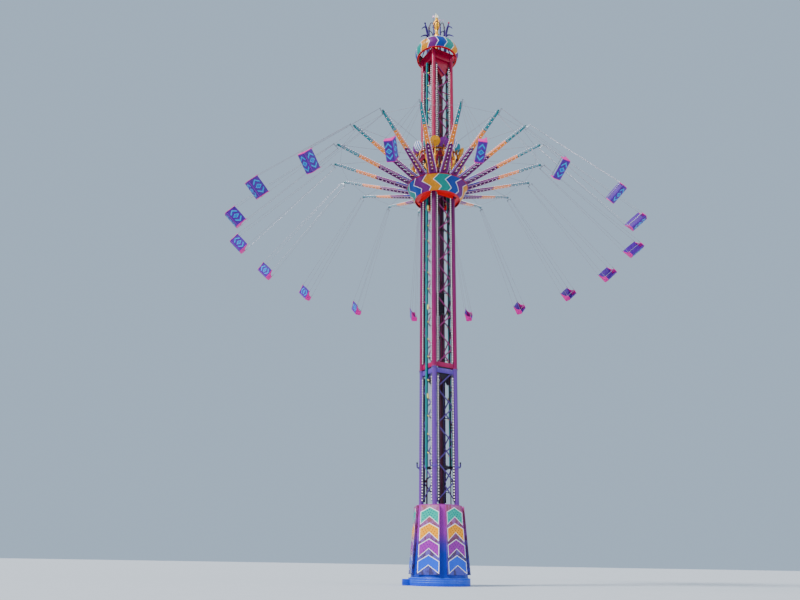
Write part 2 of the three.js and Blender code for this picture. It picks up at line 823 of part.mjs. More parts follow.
const armBody = () => {
  const edge = ARM_HALF_WIDTHS.map(([r, w]) => [r, w]);
  const outline = [...edge.map(([r, w]) => [r, -w]), ...edge.reverse()];
  const first = ARM_BEND_R + 70;
  const pitch = (ARM_WINDOW_END_R - first) / ARM_WINDOWS;
  const windows = Array.from({ length: ARM_WINDOWS }, (_, i) => {
    const near = first + i * pitch;
    const far = near + pitch - ARM_RAIL;
    const nearHalf = armHalfWidth(near) - ARM_RAIL;
    const farHalf = armHalfWidth(far) - ARM_RAIL;
    return [
      [near, -nearHalf],
      [far, -farHalf],
      [far, farHalf],
      [near, nearHalf],
    ];
  });
  const geometry = plate(outline, 1, windows);
  const points = geometry.attributes.position;
  for (let i = 0; i < points.count; i += 1) {
    const r = points.getX(i);
    points.setZ(i, armBottom(r) + points.getZ(i) * armDepth(r));
  }
  return geometry;
};

const armNose = () => {
  const heel = ARM_END_R - 50;
  const low = armBottom(heel) + 2;
  const outline = [
    [heel, low],
    [TIP_R - 14, TIP_Z - 26],
    [TIP_R + 14, TIP_Z - 26],
    [TIP_R + 26, TIP_Z - 10],
    [TIP_R + 26, TIP_Z + 26],
    [TIP_R - 14, TIP_Z + 32],
    [heel, low + armDepth(heel) - 4],
  ];
  const cheeks = [-1, 1].map((side) =>
    standingPlate(outline, CHEEK_T).translate(0, side * (CHEEK_INNER + CHEEK_T / 2), 0),
  );
  const pin = new THREE.CylinderGeometry(PIN_R, PIN_R, 2 * PIN_END, PIN_SIDES);
  return [...cheeks, pin.translate(TIP_R, 0, TIP_Z)];
};

const arm = () => join([armBody(), ...armNose()]);

// Stays from each arm to the ring above the hub, and a line from each arm to the next
const stayCables = () => {
  const seat = ORNAMENT_RING_Z + SEAT_GAP;
  const lugZ = armBottom(STAY_LUG_R) + armDepth(STAY_LUG_R) + SEAT_GAP;
  const step = (2 * Math.PI) / ARM_COUNT;
  const halfStep = step / 2;
  const lineR = STAY_LUG_R * Math.cos(halfStep);
  const lineHalf = STAY_LUG_R * Math.sin(halfStep);
  const lineZ = lugZ + 26;
  const lug = () => block([STAY_LUG_R - 24, -20, lugZ + 3], [STAY_LUG_R + 4, 20, lugZ + 44]);
  const stay = () =>
    rod([STAY_RING_R, 0, seat + 9], [STAY_LUG_R - 8, 0, lugZ + 34], STAY_R, CABLE_SIDES);
  const line = () =>
    rod([lineR, -lineHalf, lineZ], [lineR, lineHalf, lineZ], STAY_R, CABLE_SIDES).rotateZ(halfStep);
  const inner = STAY_RING_R - STAY_RING_HALF;
  const outer = STAY_RING_R + STAY_RING_HALF;
  const ring = turned(
    [
      [inner, seat],
      [outer, seat],
      [outer, seat + STAY_RING_H],
      [inner, seat + STAY_RING_H],
      [inner, seat],
    ],
    RING_SIDES,
  );
  return join([
    ring,
    ...aroundAxis(ARM_COUNT, lug),
    ...aroundAxis(ARM_COUNT, stay),
    ...aroundAxis(ARM_COUNT, line),
  ]);
};

// How far each chair swings outward and leans back, in degrees: the breeze moves each a little
const CHAIR_ANGLES_DEG = [
  [37.1, 2.4],
  [38.3, 1.6],
  [38.5, 3.8],
  [40.5, 3.4],
  [42.5, 2.2],
  [40.3, 5.2],
  [39.8, 4.8],
  [39.0, 5.4],
  [40.3, 4.2],
  [40.3, 1.2],
  [42.0, -0.6],
  [44.3, 0.4],
  [46.0, 2.4],
  [44.2, 4.8],
  [42.6, 5.4],
  [41.1, 5.2],
  [38.7, 3.8],
  [37.8, 3.1],
];

// Chairs: built hanging straight down from the pin at the origin. The riders face -Y.

const seatPieces = () => {
  const sideOutline = [
    [SEAT_FRONT_Y, SEAT_PAN_Z],
    [SEAT_REAR_Y, SEAT_PAN_Z],
    [SEAT_REAR_Y + 22, SEAT_BACK_TOP],
    [30, 120],
    [SEAT_FRONT_Y + 14, 40],
  ];
  const side = (x) =>
    plate(sideOutline, SEAT_WALL)
      .rotateX(Math.PI / 2)
      .rotateZ(Math.PI / 2)
      .translate(x, 0, 0);
  const panTop = SEAT_PAN_Z + 26;
  const bucketOutline = [
    [SEAT_FRONT_Y + 3, SEAT_PAN_Z + 3],
    [SEAT_REAR_Y - 3, SEAT_PAN_Z + 3],
    [SEAT_REAR_Y + 18, SEAT_BACK_TOP - 8],
    [SEAT_REAR_Y + 18 - SEAT_WALL, SEAT_BACK_TOP - 8],
    [SEAT_REAR_Y - 3 - SEAT_WALL, panTop],
    [SEAT_FRONT_Y + 3, panTop],
  ];
  const bucket = plate(bucketOutline, 2 * SEAT_HALF - 8)
    .rotateX(Math.PI / 2)
    .rotateZ(Math.PI / 2)
    .translate(-SEAT_HALF + 4, 0, 0);
  const barY = SEAT_FRONT_Y + 36;
  const bar = rod([-SEAT_HALF + 4, barY, 30], [SEAT_HALF - 4, barY, 30], LAP_BAR_R, 4);
  return [side(-SEAT_HALF), side(SEAT_HALF - SEAT_WALL), bucket, bar];
};

const chair = (leanDeg) => {
  const drop = -SPREADER_DROP;
  const lean = new THREE.Matrix4()
    .makeTranslation(0, 0, drop)
    .multiply(new THREE.Matrix4().makeRotationX(-radians(leanDeg)))
    .multiply(new THREE.Matrix4().makeTranslation(0, 0, -CABLE_LENGTH + SPREADER_DROP));
  const seat = seatPieces().map((piece) => piece.applyMatrix4(lean));
  const fixings = [-1, 1].flatMap((x) => [
    { x, y: SEAT_FRONT_Y + 26, z: 34 },
    { x, y: SEAT_REAR_Y + 8, z: SEAT_BACK_TOP - 40 },
  ]);
  const cables = fixings.map(({ x, y, z }) => {
    const end = new THREE.Vector3(x * (SEAT_HALF - SEAT_WALL / 2), y, z).applyMatrix4(lean);
    return rod([x * (SPREADER_HALF - 12), y / 14, drop], end.toArray(), CABLE_R, CABLE_SIDES);
  });
  const spreader = block(
    [-SPREADER_HALF, -HANGER_HALF_T, drop - 12],
    [SPREADER_HALF, HANGER_HALF_T, drop + 12],
  );
  const headOutline = [
    [-24, drop],
    [24, drop],
    [22, 10],
    [10, 22],
    [-10, 22],
    [-22, 10],
  ];
  const bore = Array.from({ length: PIN_SIDES }, (_, i) => {
    const turn = (i * 2 * Math.PI) / PIN_SIDES;
    return [HANGER_BORE_R * Math.cos(turn), HANGER_BORE_R * Math.sin(turn)];
  });
  const head = standingPlate(headOutline, 2 * HANGER_HALF_T, [bore]);
  return join([head, spreader, ...cables, ...seat]);
};

// Colours

const paint = (color, roughness = 0.35, metalness = 0) =>
  new THREE.MeshStandardMaterial({ color, roughness, metalness });

const PAINTS = {
  base: paint(0x2458b8),
  skirt: paint(0x8f4fb0),
  column: paint(0xb0256b),
  bracing: paint(0x8c2f78),
  rail: paint(0x2f9a8f),
  head: paint(0xb3193c),
  crown: paint(0xd9a528),
  figures: paint(0x3c2f8c),
  gold: paint(0xd9ab3c, 0.25, 0.8),
  dark: paint(0x2a2330, 0.6, 0.4),
  disc: paint(0xcf1f24),
  hub: paint(0xd9892b),
  ornament: paint(0xb8862d, 0.3, 0.7),
  cable: paint(0xd9dde2, 0.35, 0.9),
  arm: paint(0x4a3aa0),
  chair: paint(0x3b49b5),
};

// The ride

const root = new THREE.Group();
const carriage = new THREE.Group();
const carousel = new THREE.Group();
root.add(carriage);
carriage.add(carousel);

const add = (group, name, geometry, material) => {
  const mesh = new THREE.Mesh(geometry, material);
  mesh.name = name;
  group.add(mesh);
  return mesh;
};

add(root, "base_plate", basePlate(), PAINTS.base);
add(root, "base_skirt", baseSkirt(), PAINTS.skirt);

const COLUMN_NAMES = ["front_left", "front_right", "rear_right", "rear_left"];
COLUMN_NAMES.forEach((place, i) => {
  const [x, y] = CORNERS[i];
  add(root, `column_${place}`, column(), PAINTS.column).position.set(x * TOWER_HALF, y * TOWER_HALF, 0);
});

const FACE_NAMES = ["front", "right", "rear", "left"];
FACE_NAMES.forEach((place, i) => {
  add(root, `bracing_${place}`, braceFace(), PAINTS.bracing).rotation.z = (i * Math.PI) / 2;
});

add(root, "guide_rail_right", guideRail(), PAINTS.rail);
add(root, "guide_rail_left", guideRail(), PAINTS.rail).rotation.z = Math.PI;
add(root, "landing_frame", landingFrame(), PAINTS.column);
add(root, "head_frame", headFrame(), PAINTS.head);
add(root, "crown_band", crownBand(), PAINTS.crown);
add(root, "crown_figures", crownFigures(), PAINTS.figures);
add(root, "gold_spire", goldSpire(), PAINTS.gold);
add(root, "counterweight_guide_right", counterweightGuide(), PAINTS.dark);
add(root, "counterweight_guide_left", counterweightGuide(), PAINTS.dark).rotation.z = Math.PI;
add(root, "counterweight", counterweight(), PAINTS.dark);

add(carriage, "carriage_frame", carriageFrame(), PAINTS.disc);
add(carousel, "hub_band", hubBand(), PAINTS.hub);

// What is built along +X starts at azimuth 0, which looks along -Y
const azimuthZero = new THREE.Group();
azimuthZero.rotation.z = -Math.PI / 2;
carousel.add(azimuthZero);
add(azimuthZero, "ornament_ring", ornamentRing(), PAINTS.ornament);
add(azimuthZero, "stay_cables", stayCables(), PAINTS.cable);

const armGeometry = arm();
for (let i = 0; i < ARM_COUNT; i += 1) {
  const [swingDeg, leanDeg] = CHAIR_ANGLES_DEG[i];
  const number = String(i + 1).padStart(2, "0");
  const place = new THREE.Group();
  place.rotation.z = (i * 2 * Math.PI) / ARM_COUNT;
  azimuthZero.add(place);
  add(place, `arm_${number}`, armGeometry, PAINTS.arm);
  const seat = add(place, `chair_${number}`, chair(leanDeg), PAINTS.chair);
  seat.position.set(TIP_R, 0, TIP_Z);
  seat.rotation.y = -radians(swingDeg);
}

export default root;
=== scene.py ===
"""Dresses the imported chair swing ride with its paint, panels, bulbs, arms, chairs and crown.

Lengths are metres of the 1:2 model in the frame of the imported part. The origin is the middle of
the base plate's underside, +Z is up, and an azimuth is counted from -Y towards +X.
"""

import logging
import math
from dataclasses import dataclass, field
from enum import Enum
from functools import reduce
from itertools import product
from typing import Callable, Iterable, Sequence

import bmesh
import bpy
from mathutils import Matrix, Vector


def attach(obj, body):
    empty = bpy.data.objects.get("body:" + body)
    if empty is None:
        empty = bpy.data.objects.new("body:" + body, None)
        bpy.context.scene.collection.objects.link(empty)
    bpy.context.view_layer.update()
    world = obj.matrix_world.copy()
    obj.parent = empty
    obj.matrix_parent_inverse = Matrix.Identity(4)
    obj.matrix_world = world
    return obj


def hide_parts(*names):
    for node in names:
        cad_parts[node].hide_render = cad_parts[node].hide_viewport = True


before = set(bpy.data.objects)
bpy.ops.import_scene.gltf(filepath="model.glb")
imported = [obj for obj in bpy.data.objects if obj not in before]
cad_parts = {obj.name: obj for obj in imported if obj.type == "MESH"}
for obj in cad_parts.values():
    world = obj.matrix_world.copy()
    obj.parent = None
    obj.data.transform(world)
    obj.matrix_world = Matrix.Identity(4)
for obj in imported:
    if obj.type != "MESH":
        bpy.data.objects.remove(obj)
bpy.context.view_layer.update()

LOG = logging.getLogger("swing_ride")

Colour = tuple[float, float, float]
Flat = tuple[float, float]
Point = tuple[float, float, float]
Shape = bmesh.types.BMesh
Socket = bpy.types.NodeSocket

HERE = Matrix.Identity(4)
FULL_TURN = 2.0 * math.pi
EVEN = (1.0, 1.0, 1.0)
WHITE = (1.0, 1.0, 1.0)


class Body(Enum):
    """The moving bodies of the part that pieces ride on."""

    TOWER = "tower"
    COUNTERWEIGHT = "counterweight"
    CARRIAGE = "carriage"
    CAROUSEL = "carousel"


class Slot(Enum):
    """The record's material slots."""

    SKIRT = "skirt_panels"
    TOWER = "tower_paint"
    BRACING = "bracing_paint"
    RAIL = "rail_paint"
    LANDING = "landing_paint"
    HEAD = "head_paint"
    CROWN = "crown_panels"
    FIGURE = "figure_paint"
    GOLD = "gold_finish"
    DARK = "dark_steel"
    IRON = "counterweight_iron"
    CARRIAGE = "carriage_paint"
    HUB = "hub_panels"
    CABLE = "steel_cable"
    ARM = "arm_paint"
    SEAT = "seat_shell"


def linear(code: str) -> Colour:
    """Turns a paint code into linear light.

    Args:
        code: six hex digits, red first.

    Returns:
        Red, green and blue from 0 to 1.
    """
    channels = [int(code[i : i + 2], 16) / 255.0 for i in (0, 2, 4)]
    return tuple(c / 12.92 if c <= 0.04045 else ((c + 0.055) / 1.055) ** 2.4 for c in channels)


def toned(colour: Colour, factor: float) -> Colour:
    """Returns a colour made lighter or darker by a factor."""
    return tuple(min(1.0, c * factor) for c in colour)


# Finishes


class Graph:
    """The nodes of one material, which read Object coordinates."""

    def __init__(self, name: str, roughness: float, metallic: float, coat: float) -> None:
        """Starts a material.

        Args:
            name: the material's name.
            roughness: the shader's roughness where no node drives it.
            metallic: the shader's metallic value.
            coat: the weight of the clear coat.
        """
        self.material = bpy.data.materials.new(name)
        self.material.use_nodes = True
        self.tree = self.material.node_tree
        self.tree.nodes.clear()
        values = {"Roughness": roughness, "Metallic": metallic, "Coat Weight": coat}
        values |= {"Coat Roughness": 0.12, "Specular IOR Level": 0.22}
        self.shader = self.node("ShaderNodeBsdfPrincipled", values)
        self.node("ShaderNodeOutputMaterial", {"Surface": self.shader.outputs["BSDF"]})
        self.place = self.node("ShaderNodeTexCoord", {}).outputs["Object"]

    def node(self, kind: str, inputs: dict[str | int, object], **options: object) -> bpy.types.Node:
        """Adds a node.

        Args:
            kind: its type.
            inputs: for each input a value, or the output that it is linked to.
            options: its other settings.

        Returns:
            The node.
        """
        made = self.tree.nodes.new(kind)
        for key, value in options.items():
            setattr(made, key, value)
        self.feed(made, inputs)
        return made

    def feed(self, node: bpy.types.Node, inputs: dict[str | int, object]) -> None:
        """Gives a node's inputs their values and links.

        Args:
            node: the node.
            inputs: for each input a value, or the output that it is linked to.
        """
        for key, value in inputs.items():
            if isinstance(value, Socket):
                self.tree.links.new(value, node.inputs[key])
            else:
                node.inputs[key].default_value = value

    def noise(self, scale: float, detail: float = 3.0, stretch: Point = EVEN) -> Socket:
        """Adds cloudy noise.

        Args:
            scale: how fine it is, per metre.
            detail: how many octaves it has.
            stretch: a scale for each axis.

        Returns:
            The noise's factor.
        """
        mapping = self.node("ShaderNodeMapping", {"Scale": stretch, "Vector": self.place})
        values = {"Scale": scale, "Detail": detail, "Vector": mapping.outputs["Vector"]}
        return self.node("ShaderNodeTexNoise", values).outputs["Fac"]

    def ramp(self, factor: Socket, stops: Sequence[tuple[float, Colour]]) -> Socket:
        """Turns a factor into colours.

        Args:
            factor: a value from 0 to 1.
            stops: positions and their colours, in order.

        Returns:
            The colour.
        """
        made = self.node("ShaderNodeValToRGB", {"Fac": factor})
        elements = made.color_ramp.elements
        while len(elements) < len(stops):
            elements.new(0.5)
        for element, (position, colour) in zip(elements, stops):
            element.position = position
            element.color = (*colour, 1.0)
        return made.outputs["Color"]

    def spread(self, factor: Socket, start: Flat, end: Flat) -> Socket:
        """Maps a value from one range to another.

        Args:
            factor: the value.
            start: the range it has.
            end: the range it gets.

        Returns:
            The mapped value.
        """
        values = dict(zip(("From Min", "From Max", "To Min", "To Max"), (*start, *end)))
        return self.node("ShaderNodeMapRange", values | {"Value": factor}).outputs["Result"]

    def multiplied(self, one: Socket, other: Socket) -> Socket:
        """Returns the product of two colours."""
        values = {"Factor": 1.0, 6: one, 7: other}
        made = self.node("ShaderNodeMix", values, data_type="RGBA", blend_type="MULTIPLY")
        return made.outputs[2]

    def height(self) -> Socket:
        """Returns the Z coordinate."""
        return self.node("ShaderNodeSeparateXYZ", {"Vector": self.place}).outputs["Z"]

    def paint(self, tint: Socket) -> None:
        """Colours the surface."""
        self.feed(self.shader, {"Base Color": tint})

    def bump(self, factor: Socket, strength: float, depth: float) -> None:
        """Roughens the surface.

        Args:
            factor: the height, from 0 to 1.
            strength: how much of it shows.
            depth: the height of 1, in metres.
        """
        values = {"Strength": strength, "Distance": depth, "Height": factor}
        self.feed(self.shader, {"Normal": self.node("ShaderNodeBump", values).outputs["Normal"]})

    def roughen(self, scale: float, low: float, high: float) -> None:
        """Varies the roughness between two values with noise of a scale."""
        value = self.spread(self.noise(scale, 4.0), (0.3, 0.7), (low, high))
        self.feed(self.shader, {"Roughness": value})


@dataclass(frozen=True)
class Finish:
    """A surface finish, named as it is in the list of paints and made once."""

    name: str = field(init=False, default="")

    def __set_name__(self, owner: type, name: str) -> None:
        """Takes the name that it is listed under."""
        object.__setattr__(self, "name", name.lower())

    def material(self) -> bpy.types.Material:
        """Returns the finish's material, and builds it at its first use."""
        if self.name not in MADE:
            MADE[self.name] = self.build()
        return MADE[self.name]

    def build(self) -> bpy.types.Material:
        """Builds the material's nodes."""
        raise NotImplementedError


MADE: dict[str, bpy.types.Material] = {}


@dataclass(frozen=True)
class Enamel(Finish):
    """Gloss enamel with cloudy fading, rain streaks and orange peel.

    Its colour can also change with height, and have soft patches or glitter flakes.
    """

    code: str = "ffffff"
    roughness: float = 0.34
    coat: float = 0.06
    fade: float = 0.14
    scale: float = 2.4
    heights: tuple[tuple[float, str], ...] = ()
    patches: str = ""
    flakes: float = 0.0

    def build(self) -> bpy.types.Material:
        """Builds the enamel."""
        graph = Graph(self.name, self.roughness, 0.0, self.coat)
        graph.paint(reduce(graph.multiplied, self.layers(graph)))
        graph.roughen(self.scale * 9.0, self.roughness - 0.07, self.roughness + 0.14)
        graph.bump(graph.noise(130.0, 2.0), 0.10, 0.0012)
        return graph.material

    def layers(self, graph: Graph) -> list[Socket]:
        """Makes the layers of colour, which are multiplied.

        Args:
            graph: the material's nodes.

        Returns:
            The clouds, the rain streaks and what else the enamel has.
        """
        base, dull = linear(self.code), 1.0 - self.fade
        tones = [(0.28, toned(base, dull)), (0.52, base), (0.76, toned(base, 1.0 + self.fade))]
        rain = graph.noise(16.0, 3.0, (1.0, 1.0, 0.12))
        made = [
            graph.ramp(graph.noise(self.scale, 4.0), tones),
            graph.ramp(rain, [(0.36, toned(WHITE, dull)), (0.56, WHITE)]),
        ]
        if self.heights:
            low, high = self.heights[0][0], self.heights[-1][0]
            share = graph.spread(graph.height(), (low, high), (0.0, 1.0))
            stops = [((z - low) / (high - low), linear(code)) for z, code in self.heights]
            made.append(graph.ramp(share, stops))
        if self.patches:
            clouds = graph.noise(8.0, 3.0, (1.0, 1.0, 0.6))
            made.append(graph.ramp(clouds, [(0.44, WHITE), (0.58, linear(self.patches))]))
        if self.flakes:
            values = {"Scale": self.flakes, "Vector": graph.place}
            grains = graph.node("ShaderNodeTexVoronoi", values, feature="F1")
            grey = graph.spread(grains.outputs["Distance"], (0.1, 0.75), (0.0, 1.0))
            tones = [(0.0, WHITE), (0.25, toned(WHITE, 0.86)), (0.9, toned(WHITE, 0.66))]
            made.append(graph.ramp(grey, tones))
        return made


GLITTER = 46.0


@dataclass(frozen=True)
class GoldLeaf(Finish):
    """Gold or bronze leaf over a cast surface, in cloudy lighter and darker tones."""

    light: str
    dark: str
    roughness: float = 0.30
    metallic: float = 0.85

    def build(self) -> bpy.types.Material:
        """Builds the leaf."""
        graph = Graph(self.name, self.roughness, self.metallic, 0.0)
        bright = linear(self.light)
        tones = [(0.32, linear(self.dark)), (0.50, bright), (0.72, toned(bright, 1.12))]
        graph.paint(graph.ramp(graph.noise(11.0, 5.0), tones))
        graph.roughen(30.0, self.roughness - 0.05, self.roughness + 0.20)
        graph.bump(graph.noise(42.0, 4.0), 0.25, 0.004)
        return graph.material


@dataclass(frozen=True)
class Galvanised(Finish):
    """Zinc-coated steel with spangle and fine lay marks."""

    code: str = "c9ced4"
    roughness: float = 0.38

    def build(self) -> bpy.types.Material:
        """Builds the zinc coat."""
        graph = Graph(self.name, self.roughness, 0.75, 0.0)
        base = linear(self.code)
        tones = [(0.35, toned(base, 0.82)), (0.60, base), (0.8, toned(base, 1.1))]
        graph.paint(graph.ramp(graph.noise(34.0, 4.0), tones))
        graph.roughen(60.0, self.roughness - 0.08, self.roughness + 0.16)
        graph.bump(graph.noise(260.0, 2.0, (1.0, 1.0, 0.4)), 0.20, 0.001)
        return graph.material


@dataclass(frozen=True)
class BulbGlass(Finish):
    """A small opal bulb that glows a little in daylight."""

    code: str
    glow: float = 0.35

    def build(self) -> bpy.types.Material:
        """Builds the opal glass."""
        graph = Graph(self.name, 0.22, 0.0, 0.5)
        base = linear(self.code)
        tones = [(0.35, toned(base, 0.93)), (0.65, base)]
        graph.paint(graph.ramp(graph.noise(9.0, 2.0), tones))
        graph.feed(graph.shader, {"Emission Color": (*base, 1.0), "Emission Strength": self.glow})
        return graph.material


class Paints:
    """Every finish on the ride."""

    SKIRT = Enamel(
        fade=0.05,
        heights=(
            *((0.0, "1434b0"), (0.85, "1a36b2"), (1.12, "4a2cb0")),
            *((1.40, "9a30b0"), (2.215, "b333ac")),
        ),
    )
    BOARD = Enamel(
        fade=0.08,
        heights=((0.10, "3e4cb8"), (0.75, "5e50b0"), (1.40, "885098"), (2.20, "a45892")),
        patches="e4c898",
    )
    BASE_RING = Enamel("1240cc", fade=0.10)
    BASE_BEAD = Enamel("5a86ea")
    TEAL_CHEVRON = Enamel("00b49c", fade=0.06)
    AMBER_CHEVRON = Enamel("ffa404", fade=0.05)
    PURPLE_CHEVRON = Enamel("9c1ca2", fade=0.06)
    BLUE_CHEVRON = Enamel("1250de", fade=0.06)
    WHITE_EDGE = Enamel("fbf6fb", fade=0.03)
    TEAL_DOT = Enamel("053a70")
    AMBER_DOT = Enamel("a44c06")
    PURPLE_DOT = Enamel("52108c")
    UPPER_COLUMN = Enamel(
        roughness=0.32,
        fade=0.05,
        heights=(
            *((6.4, "88064e"), (8.4, "7e0654"), (10.2, "720656"), (12.4, "660654")),
            *((12.9, "860446"), (13.8, "a00444"), (18.8, "a0043e")),
        ),
    )
    LOWER_COLUMN = Enamel(
        roughness=0.32,
        fade=0.05,
        heights=((0.0, "703694"), (2.2, "6c3694"), (4.2, "663894"), (6.4, "623a94")),
    )
    UPPER_BRACE = Enamel("8e1c68", fade=0.16)
    LOWER_BRACE = Enamel("543c86", fade=0.16)
    JOINT_CRIMSON = Enamel("a00650")
    JOINT_LAVENDER = Enamel("6040a4")
    RAIL = Enamel("0a7c80", roughness=0.28, fade=0.12)
    DISC_UNDER = Enamel("e40612", roughness=0.4, fade=0.08)
    CREAM = Enamel("efdc78")
    DARK = Enamel("241c2c", roughness=0.5, coat=0.0, fade=0.25)
    # Dark maroon of the inner pipes and lugs; on the trunk by the rear-right column it is painted
    # shade.
    TRUNK = Enamel("3c0c26", roughness=0.4, coat=0.1, fade=0.2)
    BATTEN = Enamel("4c4654", fade=0.2)
    HEAD = Enamel("a40432", coat=0.12)
    CROWN_RED = Enamel("cc0418", coat=0.12)
    CROWN_LINING = Enamel("5c0a26", fade=0.3)
    PANEL_GREEN = Enamel("089c90", fade=0.06, flakes=GLITTER)
    PANEL_AMBER = Enamel("f49a06", fade=0.06, flakes=GLITTER)
    PANEL_PURPLE = Enamel("74127c", fade=0.06, flakes=GLITTER)
    PANEL_BLUE = Enamel("0e44a4", fade=0.06, flakes=GLITTER)
    INDIGO = Enamel("320a6a", roughness=0.5, coat=0.0, fade=0.2)
    BALL_RED = Enamel("c81048")
    ARCH = Enamel("5a4650", fade=0.2)
    STAR = Enamel("f5b4e0", fade=0.1)
    GOLD = GoldLeaf("f0b030", "84480e", metallic=0.6)
    BRONZE = GoldLeaf("b06418", "3e1c0c", roughness=0.4, metallic=0.5)
    PALE_LEAF = Enamel("fdf3cf", fade=0.1)
    DISC_RED = Enamel("e8081c", roughness=0.36, coat=0.2, fade=0.08)
    SLEEVE = Enamel("7c0a34", fade=0.22)
    BADGE_GOLD = Enamel("f8a804", fade=0.06, flakes=GLITTER)
    BADGE_PURPLE = Enamel("8a129a", fade=0.06, flakes=GLITTER)
    BADGE_BLUE = Enamel("1e74c6", fade=0.06, flakes=GLITTER)
    BADGE_GREEN = Enamel("0fa070", fade=0.06, flakes=GLITTER)
    ARM_BLUE = Enamel("16248a")
    ARM_PURPLE = Enamel("70106a")
    ARM_ORANGE = Enamel("f58626")
    ARM_TEAL = Enamel("0a8088")
    ARM_SOCKET = Enamel("5a1040", fade=0.2)
    ARM_EDGE = Enamel("e6b8d6", fade=0.08)
    STEEL = Galvanised("9a9ea6")
    ROPE = Galvanised("a49ea6", 0.36)
    BULB = BulbGlass("fffaf4", 1.2)
    RED_BULB = BulbGlass("f21808", 0.8)
    SHELL = Enamel("541698", roughness=0.34, fade=0.18, scale=5.0)
    SHELL_SIDE = Enamel("e8149a", roughness=0.34, fade=0.14, scale=5.0)
    SHELL_EDGE = Enamel("7a16a8", roughness=0.34, fade=0.08, scale=5.0)
    DECAL = Enamel("18a2e0", roughness=0.35, coat=0.0, fade=0.08)
    DECAL_DEEP = Enamel("104ac0", roughness=0.35, coat=0.0, fade=0.08)
    FLOOR = Enamel("c9cdd1", roughness=0.8, coat=0.0, fade=0.03)


# Shapes

CORNERS = ((-1.0, -1.0), (1.0, -1.0), (1.0, 1.0), (-1.0, 1.0))


def azimuth(degrees: float) -> Matrix:
    """Returns the turn that takes what is built along +X to an azimuth."""
    return turned(degrees - 90.0)


def around(count: int, start: float = 0.0) -> list[Matrix]:
    """Returns the turns of pieces at even azimuths.

    Args:
        count: how many pieces.
        start: the first piece's azimuth, in degrees.

    Returns:
        One turn for each piece.
    """
    return [azimuth(start + i * 360.0 / count) for i in range(count)]


def moved(x: float, y: float, z: float) -> Matrix:
    """Returns a shift along the three axes."""
    return Matrix.Translation((x, y, z))


def turned(degrees: float, axis: str = "Z") -> Matrix:
    """Returns a turn about an axis."""
    return Matrix.Rotation(math.radians(degrees), 4, axis)


def quarters() -> list[Matrix]:
    """Returns the four turns that take what faces -Y to each face of the tower."""
    return [turned(i * 90.0) for i in range(4)]


def square(half: float) -> list[Flat]:
    """Returns the corners of a square about the origin."""
    return [(x * half, y * half) for x, y in CORNERS]


def section(inner: float, outer: float, low: float, high: float) -> list[Flat]:
    """Returns the section of a flat ring, in radius and height."""
    return [(inner, low), (outer, low), (outer, high), (inner, high)]


def tidied(shape: Shape) -> Shape:
    """Merges doubles and turns the faces outwards."""
    bmesh.ops.remove_doubles(shape, verts=shape.verts[:], dist=1e-6)
    bmesh.ops.recalc_face_normals(shape, faces=shape.faces[:])
    return shape


def bevelled(shape: Shape, edge: float, segments: int = 2) -> Shape:
    """Rounds the edges that turn by more than 30 degrees.

    Args:
        shape: the shape, which is changed.
        edge: the rounding's width.
        segments: its steps.

    Returns:
        The shape.
    """
    sharp = [e for e in shape.edges if e.is_manifold and e.calc_face_angle() > math.radians(30.0)]
    bmesh.ops.bevel(
        shape, geom=sharp, offset=edge, offset_type="OFFSET", segments=segments, profile=0.5,
        affect="EDGES", material=-1, clamp_overlap=True,
    )
    return shape


def placed(shape: Shape, place: Matrix) -> Shape:
    """Moves a shape to a place."""
    bmesh.ops.transform(shape, matrix=place, verts=shape.verts[:])
    return shape


def divided(shape: Shape, point: Point, normal: Point) -> Shape:
    """Divides a shape's faces along a plane."""
    geom = shape.verts[:] + shape.edges[:] + shape.faces[:]
    bmesh.ops.bisect_plane(shape, geom=geom, plane_co=point, plane_no=normal)
    return shape


def box(one: Point, other: Point, edge: float = 0.003) -> Shape:
    """Makes a box with rounded edges between two opposite corners."""
    size = [abs(a - b) for a, b in zip(one, other)]
    middle = moved(*((a + b) / 2.0 for a, b in zip(one, other)))
    shape = bmesh.new()
    bmesh.ops.create_cube(shape, size=1.0, matrix=middle @ Matrix.Diagonal((*size, 1.0)))
    return bevelled(shape, min(edge, min(size) * 0.3)) if edge else shape


def along(start: Point, end: Point) -> Matrix:
    """Returns the placing that takes a shape centred on Z to lie between two points."""
    way = Vector(end) - Vector(start)
    middle = (Vector(start) + Vector(end)) / 2.0
    return Matrix.Translation(middle) @ way.to_track_quat("Z", "Y").to_matrix().to_4x4()


def rod(
    start: Point, end: Point, radius: float, sides: int = 12, end_radius: float | None = None
) -> Shape:
    """Makes a round bar.

    Args:
        start: the middle of its first end.
        end: the middle of its other end.
        radius: its radius at the start.
        sides: its number of sides.
        end_radius: its radius at the other end, if that differs.

    Returns:
        The bar.
    """
    shape = bmesh.new()
    radii = {"radius1": radius, "radius2": radius if end_radius is None else end_radius}
    depth = (Vector(end) - Vector(start)).length
    place = along(start, end)
    bmesh.ops.create_cone(shape, cap_ends=True, segments=sides, depth=depth, matrix=place, **radii)
    return shape


def bar(start: Point, end: Point, width: float, depth: float, edge: float = 0.003) -> Shape:
    """Makes a rectangular bar between two points, with its width level."""
    half = (Vector(end) - Vector(start)).length / 2.0
    shape = box((-width / 2, -depth / 2, -half), (width / 2, depth / 2, half), edge)
    return placed(shape, along(start, end))


def ball(middle: Point, radius: float, steps: int = 2) -> Shape:
    """Makes a ball."""
    shape = bmesh.new()
    bmesh.ops.create_icosphere(shape, subdivisions=steps, radius=radius, matrix=moved(*middle))
    return shape


